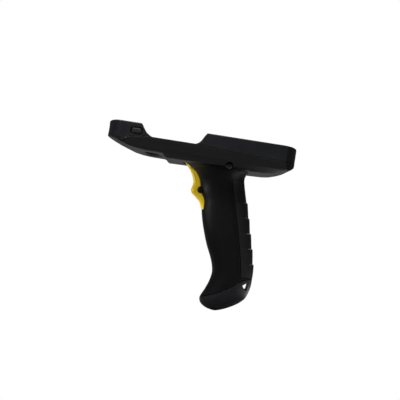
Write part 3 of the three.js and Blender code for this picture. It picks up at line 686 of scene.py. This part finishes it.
def frame_shell():
    """The frame in one solid: the lining in the tub, the walls above the parting line, nose and bay floor."""
    rows = TAIL_ROWS + [("middle", x) for x in MIDDLE + [NOSE_START - 0.1, NOSE_START]] + NOSE_ROWS

    def in_nose(row):
        return row[0] == "nose" or (row[0] == "middle" and row[1] >= NOSE_START)

    def outer_wall(row):
        """How far the outer wall stands out from the lining, from 0 to 1, and the radius of its top edge."""
        if in_nose(row):
            return 1.0, RIM_RADIUS
        x = row_end(head_plan(0), row)[0]
        height = top_line(x) - parting(x) - GAP
        return 0.99 * min(max(height / 0.4, 0), 1), min(max(0.6 * height, 0.2), RIM_RADIUS)

    def low(row, u):
        shape = head_plan(0) if in_nose(row) else head_plan(LINING)
        x, half = row_end(shape, row)
        if in_nose(row):
            return x, u * half, underside(x, u * half)
        under = max(FLOOR_BOTTOM, underside(x, u * half, LINING))
        return x, u * half, min(under, parting(x) - 0.4, bay_floor(x, u * half) - 1.2)

    def flange(out, lift):
        """A ring on the lining (out 0) or the outer wall (out 1), just above the parting line."""

        def place(row, u):
            if in_nose(row):
                x, half = row_end(head_plan(0), row)
                return x, u * half, underside(x, u * half) + 0.1 + lift
            share, rim = outer_wall(row)
            x, y = blended(row, u, head_plan(LINING), head_plan(0), share * out)
            centre = row_end(head_plan(0), row)[0]
            return x, y, min(parting(centre) + GAP, top_line(centre) - rim - 0.1) + lift

        return place

    def wall(turn):
        """A ring on the outer wall's rounded top edge, a turn of 0 to 90 degrees up from its side."""
        turn = math.radians(turn)

        def place(row, u):
            share, rim = outer_wall(row)
            inset = rim * (1 - math.cos(turn))
            x, y = blended(row, u, head_plan(LINING + inset), head_plan(inset), share)
            return x, y, top_line(row_end(head_plan(0), row)[0]) - rim * (1 - math.sin(turn))

        return place

    def mouth(outset, drop):
        return edge_ring(bay_plan(outset), lambda x, y: top_line(x) - drop)

    rings = [
        flange(0, 0), flange(1, 0.02), wall(0), wall(22), wall(45), wall(68), wall(90),
        mouth(BROW, 0), mouth(0.3 * BROW, 0.3 * BROW), mouth(0, BROW),
    ]
    return closed_shell(rows, low, rings, edge_ring(bay_plan(0), bay_floor))


def latch_window(way):
    """The hole for a latch button, with a wide dished surround on the outside."""
    levels = [(40.2, 0.6), (41.0, 0.6), (41.05, 1.0), (41.6, 1.1), (42.6, 1.25)]
    rounded = [(y, growth, BUTTON["corner"] + growth) for y, growth in levels]
    return pillow("y", BUTTON["half"], on_side(way, rounded), BUTTON["at"])


def latch_recess(way):
    """The room for a latch inside the nose wall, deeper at the front, where the hook arm swings out."""
    inner, front, zs = LATCH_ROOM["inner"], LATCH_ROOM["front"], LATCH_ROOM["zs"]
    return [
        box((LATCH_ROOM["rear"], front), span(way, inner, 40.4), zs),
        box((LATCH_ROOM["middle"], front), span(way, inner, 41.2), zs),
    ]


def latch_bore(way, low, high):
    return rod("z", (LATCH_PIN[0], way * LATCH_PIN[1]), low, high, LATCH_BORE, 24)


def scan_window():
    """The window through the nose, with an eased rim at the front."""
    middle = (SCAN_WINDOW["bottom"] + SCAN_WINDOW["top"]) / 2
    half = (SCAN_WINDOW["half"], (SCAN_WINDOW["top"] - SCAN_WINDOW["bottom"]) / 2)
    levels = [(79, 0), (87.4, 0), (87.9, 0.15), (88.4, 0.5), (88.9, 1.0), (92, 1.0)]
    return pillow("x", half, [(x, growth, 2 + growth) for x, growth in levels], (0, middle))


def camera_hole():
    rx, ry = CAMERA_OVAL["rx"] + 1, CAMERA_OVAL["ry"] + 1
    return prism("z", circle(rx, (CAMERA_OVAL["x"], 0), 72, ry / rx), -6, 1)


def pad_recess():
    """The seat pad's recess, with a wider step at its rim."""
    corner, rim = PAD["corner"] + GAP, 0.4
    levels = [(-1.3, 0), (-0.6, 0), (-0.35, rim), (1, rim)]
    return pillow("z", PAD["half"], [(z, GAP + growth, corner + growth) for z, growth in levels])


def frame_screw_hole(at):
    """A hole through the bay floor with a sunk seat and a flared mouth."""
    floor = bay_floor(*at)
    profile = [(-6, 1.3), (floor - 1.1, 1.3), (floor - 1.1, 2.3), (floor - 0.3, 2.3), (floor + 0.6, 3.0)]
    return turned("z", at, profile)


def upper_frame():
    shell = frame_shell()
    contact_slot = pillow("z", CONTACT["half"], [(-6, GAP, 1), (1, GAP, 1)], CONTACT["at"])
    cut(shell, camera_hole(), contact_slot, pad_recess(), scan_window())
    for at in FRAME_SCREWS:
        cut(shell, frame_screw_hole(at))
    for way in (1, -1):
        cut(shell, *latch_recess(way))
        cut(shell, latch_window(way))
        cut(shell, latch_bore(way, 5.6, 15.6))
    return shell


# ---------------------------------------------------------------- seat pad and contacts


def seat_pad():
    corner = PAD["corner"]
    levels = [(-1, -0.2, 2.6), (-0.8, 0, corner), (-0.3, 0, corner), (-0.09, -0.09, 2.65), (0, -0.3, 2.5)]
    return pillow("z", PAD["half"], levels)


def contact_pin(y):
    profile = [(-2.1, 0.6), (0.3, 0.6), (0.55, 0.52), (0.7, 0.38), (0.78, 0.2), (0.8, 0.05)]
    return turned("z", (CONTACT["at"][0], y), profile, 24)


def contact_block():
    levels = [(-3.9, 0, 0.8), (-0.9, 0, 0.8), (-0.7, -0.2, 0.7)]
    block = pillow("z", CONTACT["half"], levels, CONTACT["at"])
    profile = [(-3.4, 0.8), (-0.9, 0.8), (-0.6, 1.1)]
    return cut(block, *[turned("z", (CONTACT["at"][0], y), profile, 24) for y in PIN_YS])


# ---------------------------------------------------------------- release latches


def latch_lever(way):
    inner, outer, edge = LATCH_LEVER["inner"], LATCH_LEVER["outer"], 0.2
    levels = [(inner, -edge, 0.5), (inner + edge, 0, 0.6), (outer - edge, 0, 0.6), (outer, -edge, 0.5)]
    return pillow("y", LATCH_LEVER["half"], on_side(way, levels), LATCH_LEVER["at"])


def latch_button(way):
    """The button's block, with its outer face rounded over."""
    corner, face = BUTTON["corner"], BUTTON["face"]
    levels = [(39.5, 0, corner), (face - 0.8, 0, corner), (face - 0.4, -0.12, 1.3), (face - 0.13, -0.4, 1.1)]
    levels.append((face, -0.8, 0.8))
    return pillow("y", BUTTON["half"], on_side(way, levels), BUTTON["at"])


def button_ribs(way):
    """Five upright grooves across the button's face."""
    x, z = BUTTON["at"]
    places = [(x + 1.5 * step, way * (BUTTON["face"] + 0.15)) for step in (-2, -1, 0, 1, 2)]
    return [rod("z", at, z - 1.5, z + 1.5, 0.42, 20) for at in places]


def release_latch(way):
    """A rocker with a ribbed button behind its pin and a hook ahead of it."""
    z = LATCH_LEVER["at"][1]
    lever = latch_lever(way)
    barrel = rod("z", (LATCH_PIN[0], way * LATCH_PIN[1]), z - 2.9, z + 2.9, 1.6, 32)
    hook_plan = [(73, way * 39), (75.6, way * 39), (75.6, way * 36.4), (74.8, way * 36.4)]
    hook = prism("z", hook_plan, z - 2.4, z + 2.4)
    join(lever, latch_button(way), barrel, hook)
    cut(lever, latch_bore(way, 0, 20))
    return cut(lever, *button_ribs(way))


# ---------------------------------------------------------------- grip

grip_front, grip_back, grip_half = along(GRIP_FRONT), along(GRIP_BACK), along(GRIP_HALF)
GRIP_SIDES = 96
GRIP_LEVELS = [
    *steps_between(GRIP_FRONT[-1][0], -128.5, 8),
    *steps_between(-127, -20, 71),
    *steps_between(-19, GRIP_TOP, 12),
]


def grip_ring(z, inset=(0, 0, 0), step=0.0):
    """One slice of the grip, with insets at front, back and sides, and its back standing out by a step."""
    front, back, half = grip_front(z) - inset[0], grip_back(z) + inset[1], grip_half(z) - inset[2]
    ring = []
    for j in range(GRIP_SIDES):
        turn = 2 * math.pi * j / GRIP_SIDES
        c, s = math.cos(turn), math.sin(turn)
        x = (front + back) / 2 + (front - back) / 2 * math.copysign(abs(c) ** (2 / ROUNDNESS), c)
        y = half * math.copysign(abs(s) ** (2 / ROUNDNESS), s)
        rear = max(0, -c)
        ring.append((x - step * math.sqrt(rear), y + step * 0.5 * rear * math.copysign(1, s), z))
    return ring


def grip_side(x, z):
    """How far out the grip's surface is, at an x on a slice."""
    front, back = grip_front(z), grip_back(z)
    share = min(abs(2 * x - front - back) / (front - back), 1)
    return grip_half(z) * (1 - share ** ROUNDNESS) ** (1 / ROUNDNESS)


def grip_block(inset=(0, 0, 0)):
    return loft([grip_ring(z, inset) for z in GRIP_LEVELS])


def grip_cavity():
    """The hollow inside the grip, open at the top."""
    rings = [grip_ring(z, GRIP_INSET) for z in GRIP_LEVELS if z > CAVITY["bottom"]]
    rings.append([(x, y, CAVITY["top"]) for x, y, _ in rings[-1]])
    return loft(rings)


def fine_seam():
    """Points (x, z) along the seam between the grip and its cap."""
    return [(x, softened(CAP_SEAM, x, 3)) for x in steps_between(-64, -3, 60)]


def above_seam():
    """Everything over the seam between the grip and its cap."""
    outline = [*fine_seam(), (30, -131), (30, 10), (-70, 10), (-70, -100.8)]
    return prism("y", outline, -PAST_SIDES, PAST_SIDES)


def below_seam():
    """Everything under the seam, less a gap."""
    lowered = [(x, z - GAP) for x, z in fine_seam()]
    outline = [*lowered, (30, -131.3), (30, -150), (-70, -150), (-70, -101.1)]
    return prism("y", outline, -PAST_SIDES, PAST_SIDES)


def strap_zone(growth):
    """The band along the grip's back that the strap takes up."""
    low, high = STRAP["bottom"] - growth, STRAP["top"] + growth
    edge = [(grip_back(z) + STRAP["reach"] + growth, z) for z in steps_between(low, high, 60)]
    return prism("y", [*edge, (-75, high), (-75, low)], -PAST_SIDES, PAST_SIDES)


def seam_groove(reach, low, high, radius, way):
    """A groove down one flank, at a distance in front of the grip's back edge."""
    points = []
    for z in steps_between(low, high, 60):
        x = grip_back(z) + reach
        points.append((x, way * grip_side(x, z), z))
    return tube(points, radius)


def cap_groove(way):
    """A groove along the seam between one half of the grip and the cap."""
    crossing = [(x, z) for x, z in fine_seam() if grip_back(z) < x < grip_front(z)]
    return tube([(x, way * max(grip_side(x, z), 0.01), z) for x, z in crossing], 0.42)


def grip_blank():
    """Both halves of the grip in one, hollow, with the strap's pocket and the trigger's slot."""
    blank = keep(grip_block(), above_seam())
    pocket = cut(strap_zone(GAP), grip_block([STRAP["thickness"] + GAP] * 3))
    slot_half = TRIGGER_HALF + 0.4
    slot = box((-20, 30), (-slot_half, slot_half), (TRIGGER_SLOT_BOTTOM, 0))
    cut(blank, grip_cavity(), pocket)
    return cut(blank, slot)


def neck_tongue(way):
    """The tongue on one half, which keeps within the grip's outline below the saddle."""
    tongue = box(TONGUE["xs"], span(way, *TONGUE["ys"]), (-14, -3))
    return keep(tongue, join(grip_block(), box((-33, -7), (-30, 30), (-9, -2))))


def shell_features(way):
    """What one half adds to its shell: the tongue, the screw bosses and the boss beside the trigger."""
    features = [neck_tongue(way)]
    for _, at in GRIP_SCREWS:
        features.append(rod("y", at, *span(way, GAP / 2, SCREW_BOSS["reach"]), SCREW_BOSS["radius"], 28))
    guide = [(TRIGGER_HALF + 0.5, 3.1), (11.2, 3.1), (11.7, 2.9), (11.95, 2.5), (12, 1.9)]
    features.append(turned("y", GUIDE_BOSS, on_side(way, guide), 36))
    return features


def grip_shell(blank, way):
    """One half of the grip, with its seams drawn as fine grooves."""
    half = keep(blank, box((-90, 40), span(way, GAP / 2, PAST_ALL), (-150, 10)))
    join(half, *shell_features(way))
    front_seam = tube([(grip_front(z), 0, z) for z in steps_between(-124, -48, 50)], GROOVE_RADIUS)
    low, high = STRAP["bottom"], STRAP["top"]
    grooves = [
        seam_groove(STRAP["reach"] + SEAM_BEHIND, low, high, GROOVE_RADIUS, way),
        seam_groove(STRAP["reach"] + 2.6, low + 0.5, high + 5, 0.4, way),
    ]
    pin = rod("y", TRIGGER_PIVOT, *span(way, 0, 13.3), TRIGGER_BORE, 28)
    neck = rod("y", NECK_SCREW, *span(way, 18, 29), 1.25, 24)
    cut(half, front_seam)
    for groove in grooves:
        cut(half, groove)
    cut(half, cap_groove(way))
    return cut(half, pin, neck)


def grip_shell_left(blank):
    half = grip_shell(blank, 1)
    join(half, *[rod("y", at, -3.5, SCREW_BOSS["reach"], POST_RADIUS, 20) for at in SWITCH_POSTS])
    return cut(half, *[rod("y", at, -1, 12, SCREW_BOSS["pilot"], 20) for _, at in GRIP_SCREWS])


def grip_shell_right(blank):
    half = grip_shell(blank, -1)
    profile = [(0, 1.7), (-12.5, 1.7), (-12.5, 3), (-15.4, 3), (-17.4, 3.9)]
    for _, at in GRIP_SCREWS:
        cut(half, turned("y", at, profile, 36))
    return half


def scale_levels():
    """Heights up the strap and how far its scales stand out there."""
    step = SCALES["step"]
    levels = [(STRAP["bottom"] - 2, 0.0)]
    for i in reversed(range(SCALES["count"])):
        upper = SCALES["top"] - i * SCALES["pitch"]
        lower = max(upper - SCALES["pitch"], STRAP["bottom"] - 1)
        if i < SCALES["count"] - 1:
            levels += [(lower + 0.15, 0.02), (lower + 0.9, 0.06)]
        levels += [(lower + (upper - lower) * share, step * share) for share in (0.25, 0.5, 0.75, 0.9)]
        levels += [(upper - 0.55, 0.97 * step), (upper - 0.2, 0.75 * step), (upper, 0.3 * step)]
    return levels + [(z, 0.0) for z in steps_between(SCALES["top"] + 0.5, STRAP["top"] + 1, 12)]


def grip_back_strap():
    """The strap round the grip's back, with scales that stand proud at their upper edges."""
    scaled = loft([grip_ring(z, step=step) for z, step in scale_levels()])
    keep(scaled, strap_zone(0), above_seam())
    cut(scaled, grip_block([STRAP["thickness"]] * 3))
    low, high = STRAP["bottom"] - 1, STRAP["top"] + 1
    for way in (1, -1):
        cut(scaled, seam_groove(STRAP["reach"] + SEAM_BEHIND, low, high, 0.4, way))
    return scaled


def lanyard_hole():
    """A rounded triangle with one corner down, opened out at both ends."""
    middle = [sum(corner[axis] for corner in LANYARD) / len(LANYARD) for axis in (0, 1)]
    offsets = []
    for x, z in LANYARD:
        away = math.atan2(z - middle[1], x - middle[0])
        for turn in steps_between(away - math.pi / 3, away + math.pi / 3, 6):
            corner = (x + LANYARD_RADIUS * math.cos(turn), z + LANYARD_RADIUS * math.sin(turn))
            offsets.append((corner[0] - middle[0], corner[1] - middle[1]))
    edge = grip_side(*middle)
    half = [(edge - 0.8, 1), (edge + 0.3, 1.12), (30, 1.6)]
    rings = []
    for y, growth in [(-y, growth) for y, growth in reversed(half)] + half:
        rings.append([(middle[0] + growth * x, y, middle[1] + growth * z) for x, z in offsets])
    return loft(rings)


def cap_pocket():
    """The hollow in the cap, ahead of the lanyard hole."""
    low, high = CAP_POCKET["bottom"], CAP_POCKET["top"]
    inside = loft([grip_ring(z, [CAP_WALL] * 3) for z in GRIP_LEVELS if low < z < high])
    return keep(inside, box((CAP_POCKET["rear"], 0), (-PAST_SIDES, PAST_SIDES), (-150, high)))


def base_cap():
    cap = keep(grip_block(), below_seam())
    cut(cap, cap_pocket())
    join(cap, keep(rod("z", CAP_BOSS, -133, -118, 3.6, 32), below_seam(), grip_block()))
    cut(cap, lanyard_hole())
    screw_hole = [(-140, 3.6), (-133.4, 2.9), (-129.5, 2.9), (-129.5, 1.5), (-110, 1.5)]
    cut(cap, turned("z", CAP_BOSS, screw_hole, 32))
    for way in (1, -1):
        cut(cap, cap_groove(way))
    return cap


# ---------------------------------------------------------------- trigger


def trigger_section(z, front, back):
    """One slice of the trigger: a channel that is open at the back, with rounded outer edges."""
    half, wall = TRIGGER_HALF, TRIGGER_WALL
    depth = front - back
    corner = min(TRIGGER_CORNER, depth * 0.6)
    right = [(back, -half)]
    for turn in steps_between(-math.pi / 2, 0, 6):
        right.append((front - corner + corner * math.cos(turn), -half + corner + corner * math.sin(turn)))
    left = [(x, -y) for x, y in reversed(right)]
    inner_front = back + max(depth - wall * 1.25, depth * 0.25)
    inside = half - wall
    channel = [(back, inside), (inner_front, inside), (inner_front, -inside), (back, -inside)]
    return [(x, y, z) for x, y in right + left + channel]


def trigger_lever():
    """The trigger's channel, with a round boss at its pivot and a rib that presses the switch."""
    front, back = along(TRIGGER_FRONT), along(TRIGGER_BACK)
    levels = steps_between(TRIGGER_FRONT[-1][0], -8.7, 60) + [-8.0, -7.3, -6.7, -6.3]
    lever = loft([trigger_section(z, front(z), back(z)) for z in levels])
    boss = rod("y", TRIGGER_PIVOT, -TRIGGER_HALF, TRIGGER_HALF, TRIGGER_BOSS, 40)
    half_y, half_z = TRIGGER_RIB["half_y"], TRIGGER_RIB["half_z"]
    rib = box(TRIGGER_RIB["xs"], (-half_y, half_y), (SWITCH_Z - half_z, SWITCH_Z + half_z))
    join(lever, boss, rib)
    room = SPRING_ROOM["half_y"]
    cut(lever, rod("y", TRIGGER_PIVOT, -room, room, SPRING_ROOM["radius"], 40))
    return cut(lever, rod("y", TRIGGER_PIVOT, -20, 20, TRIGGER_BORE, 28))


# ---------------------------------------------------------------- screws


def screw(axis, at, tip, seat, shank, head, height):
    """A pan-head screw with a cross recess. Its head stands on from the seat, away from the tip."""
    way = math.copysign(1, seat - tip)
    top = seat + way * height
    profile = [(tip, shank * 0.4), (tip + way * 0.8, shank), (seat + way * 0.05, shank), (seat, head)]
    profile += [(seat + way * height * 0.45, head), (seat + way * height * 0.75, head * 0.93)]
    profile += [(seat + way * height * 0.93, head * 0.78), (top, head * 0.5)]
    shape = turned(axis, at, profile, 32)
    depth = sorted((top - way * height * 0.6, top + way))
    arm, blade = head * 0.62, head * 0.16
    signs = ((-1, -1), (1, -1), (1, 1), (-1, 1))
    for half_u, half_v in ((arm, blade), (blade, arm)):
        slot = [(at[0] + su * half_u, at[1] + sv * half_v) for su, sv in signs]
        cut(shape, prism(axis, slot, *depth))
    return shape


# ---------------------------------------------------------------- assembly

piece(upper_frame(), "cradle_frame", "body", "housing", "upper_frame")
# The tub's finish is the housing plastic made darker, which paints shade onto its flanks.
piece(lower_tub(), "cradle_tub", "body", "tub", "lower_tub")
piece(seat_pad(), "terminal_pad", "body", "rubber", "seat_pad")

grip_form = grip_blank()
piece(grip_shell_left(copied(grip_form)), "grip_half_left", "body", "grip", "grip_shell_left")
piece(grip_shell_right(grip_form), "grip_half_right", "body", "grip", "grip_shell_right")
piece(grip_back_strap(), "scaled_strap", "body", "rubber", "grip_back_strap")
piece(base_cap(), "grip_base_cap", "body", "housing", "base_cap")

piece(trigger_lever(), "trigger_lever", "trigger", "trigger", "trigger")
piece(contact_block(), "contact_carrier", "body", "component", "contact_block")
for i, y in enumerate(PIN_YS, 1):
    piece(contact_pin(y), f"sprung_contact_{i}", "contacts", "contact", f"contact_pin_{i}")

for side, way in (("left", 1), ("right", -1)):
    piece(release_latch(way), f"latch_rocker_{side}", f"latch_{side}", "latch", f"release_latch_{side}")
    neck = screw("y", NECK_SCREW, tip=way * 21.5, seat=way * 33.3, shank=0.95, head=2.6, height=1.6)
    piece(neck, f"neck_fixing_{side}", "body", "screw", f"neck_screw_{side}")
for i, at in enumerate(FRAME_SCREWS, 1):
    fixing = screw("z", at, tip=-3.3, seat=-1.2, shank=0.8, head=2.0, height=0.7)
    piece(fixing, f"frame_fixing_{i}", "body", "screw", f"frame_screw_{i}")
for place, at in GRIP_SCREWS:
    fixing = screw("y", at, tip=-8, seat=-12.8, shank=0.9, head=2.6, height=1.8)
    piece(fixing, f"grip_fixing_{place}", "body", "screw", f"grip_screw_{place}")
cap_fixing = screw("z", CAP_BOSS, tip=-107, seat=-129.8, shank=0.9, head=2.5, height=2.0)
piece(cap_fixing, "cap_fixing", "body", "screw", "base_cap_screw")

# The pieces hidden inside keep their own meshes, with eased edges.
HIDDEN = {
    "trigger_pin": "steel", "trigger_spring": "steel", "switch_body": "component",
    "switch_plunger": "trigger", "switch_lead": "insulation", "contact_board": "board",
    "lead_connector": "component", "latch_pin_left": "steel", "latch_pin_right": "steel",
    "latch_spring_left": "steel", "latch_spring_right": "steel", "board_screw_1": "steel",
    "board_screw_2": "steel",
}
for node, slot in HIDDEN.items():
    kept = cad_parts[node]
    kept.data.materials.clear()
    kept.data.materials.append(MATERIALS[slot])
    easing = kept.modifiers.new("eased edges", "BEVEL")
    easing.width = 0.12 * MM
    easing.segments = 2
    easing.limit_method = "ANGLE"

# ---------------------------------------------------------------- camera, light and floor


def camera():
    """On the left of the handle, level with the grip's middle and a little rolled."""
    pitch, roll = math.radians(CAMERA["pitch"]), math.radians(CAMERA["roll"])
    ahead = Vector((0, -math.cos(pitch), math.sin(pitch)))
    over = Vector((0, math.sin(pitch), math.cos(pitch)))
    across = Vector((-1, 0, 0))
    right = math.cos(roll) * across + math.sin(roll) * over
    up = math.cos(roll) * over - math.sin(roll) * across
    data = bpy.data.cameras.new("camera")
    data.lens = CAMERA["lens"]
    data.sensor_width = CAMERA["sensor"]
    obj = bpy.data.objects.new("camera", data)
    bpy.context.scene.collection.objects.link(obj)
    turn = Matrix((right, up, -ahead)).transposed().to_4x4()
    obj.matrix_world = Matrix.Translation(CAMERA["place"]) @ turn
    bpy.context.scene.camera = obj


def aim(obj, place, target):
    """Sets a light at a place, toward a target, and out of the camera's sight."""
    bpy.context.scene.collection.objects.link(obj)
    obj.location = place
    obj.rotation_euler = (Vector(target) - Vector(place)).to_track_quat("-Z", "Y").to_euler()
    obj.visible_camera = False


def lamp(name, place, target, size, power):
    data = bpy.data.lights.new(name, "AREA")
    data.shape = "RECTANGLE"
    data.size, data.size_y = size
    data.energy = power
    aim(bpy.data.objects.new(name, data), place, target)


def spot(name, place, target, degrees, power):
    """A narrow soft-edged beam."""
    data = bpy.data.lights.new(name, "SPOT")
    data.spot_size = math.radians(degrees)
    data.spot_blend = 1.0
    data.shadow_soft_size = 0.03
    data.energy = power
    aim(bpy.data.objects.new(name, data), place, target)


def white_to_the_eye(tree, other, output):
    """Shows plain white to the camera, and another shader to everything else."""
    path = tree.nodes.new("ShaderNodeLightPath")
    kind = "ShaderNodeEmission" if output.type == "OUTPUT_MATERIAL" else "ShaderNodeBackground"
    white = tree.nodes.new(kind)
    mix = tree.nodes.new("ShaderNodeMixShader")
    tree.links.new(path.outputs["Is Camera Ray"], mix.inputs[0])
    tree.links.new(other, mix.inputs[1])
    tree.links.new(white.outputs[0], mix.inputs[2])
    tree.links.new(mix.outputs[0], output.inputs["Surface"])
    return white


def sky_light(tree, strength):
    """A wide soft light overhead that fades out toward the horizon."""
    place = tree.nodes.new("ShaderNodeTexCoord")
    split = tree.nodes.new("ShaderNodeSeparateXYZ")
    fade = tree.nodes.new("ShaderNodeMapRange")
    fade.interpolation_type = "SMOOTHSTEP"
    sockets(fade, From_Min=0.05, From_Max=0.8, To_Min=0.03, To_Max=0.5)
    tree.links.new(place.outputs["Generated"], split.inputs[0])
    tree.links.new(split.outputs["Z"], fade.inputs["Value"])
    tree.links.new(fade.outputs["Result"], strength)


def sky():
    """A soft sky that the camera sees as plain white."""
    world = bpy.data.worlds.new("studio")
    world.use_nodes = True
    dim = world.node_tree.nodes["Background"]
    sockets(dim, Color=(0.95, 0.97, 1.0, 1))
    sky_light(world.node_tree, dim.inputs["Strength"])
    white = white_to_the_eye(world.node_tree, dim.outputs[0], world.node_tree.nodes["World Output"])
    sockets(white, Color=(1, 1, 1, 1), Strength=1.0)
    bpy.context.scene.world = world
    bpy.context.scene.view_settings.view_transform = "Standard"


def ground():
    """A wide matt floor just under the handle, which the camera sees as plain white."""
    size, z = FLOOR_HALF, CAD_BOUNDS[0].z - MM
    mesh = bpy.data.meshes.new("floor")
    corners = [(-size, -size, z), (size, -size, z), (size, size, z), (-size, size, z)]
    mesh.from_pydata(corners, [], [(0, 1, 2, 3)])
    floor = bpy.data.objects.new("floor", mesh)
    bpy.context.scene.collection.objects.link(floor)
    material = bpy.data.materials.new("pale floor")
    material.use_nodes = True
    tree = material.node_tree
    matt = tree.nodes["Principled BSDF"]
    sockets(matt, Base_Color=(0.18, 0.18, 0.18, 1), Roughness=0.8)
    white = white_to_the_eye(tree, matt.outputs[0], tree.nodes["Material Output"])
    sockets(white, Color=(1, 1, 1, 1), Strength=1.0)
    mesh.materials.append(material)


camera()
sky()
ground()
MIDDLE_OF_PART = (0, 0, -0.05)
lamp("key", (0.5, 0.7, 0.9), MIDDLE_OF_PART, (0.4, 0.4), 20)
lamp("side", (-0.62, 0.75, -0.03), MIDDLE_OF_PART, (0.18, 0.18), 0.3)
lamp("under", (-0.125, 0.01, -0.131), (-0.125, 0.01, 0), (0.09, 0.16), 0.08)
spot("trigger spot", (0.5, 0.24, -0.11), (0.004, TRIGGER_HALF * MM, -0.027), 6.5, 15)
lamp("rim", (-0.2, -0.9, 0.8), MIDDLE_OF_PART, (0.9, 0.6), 8)
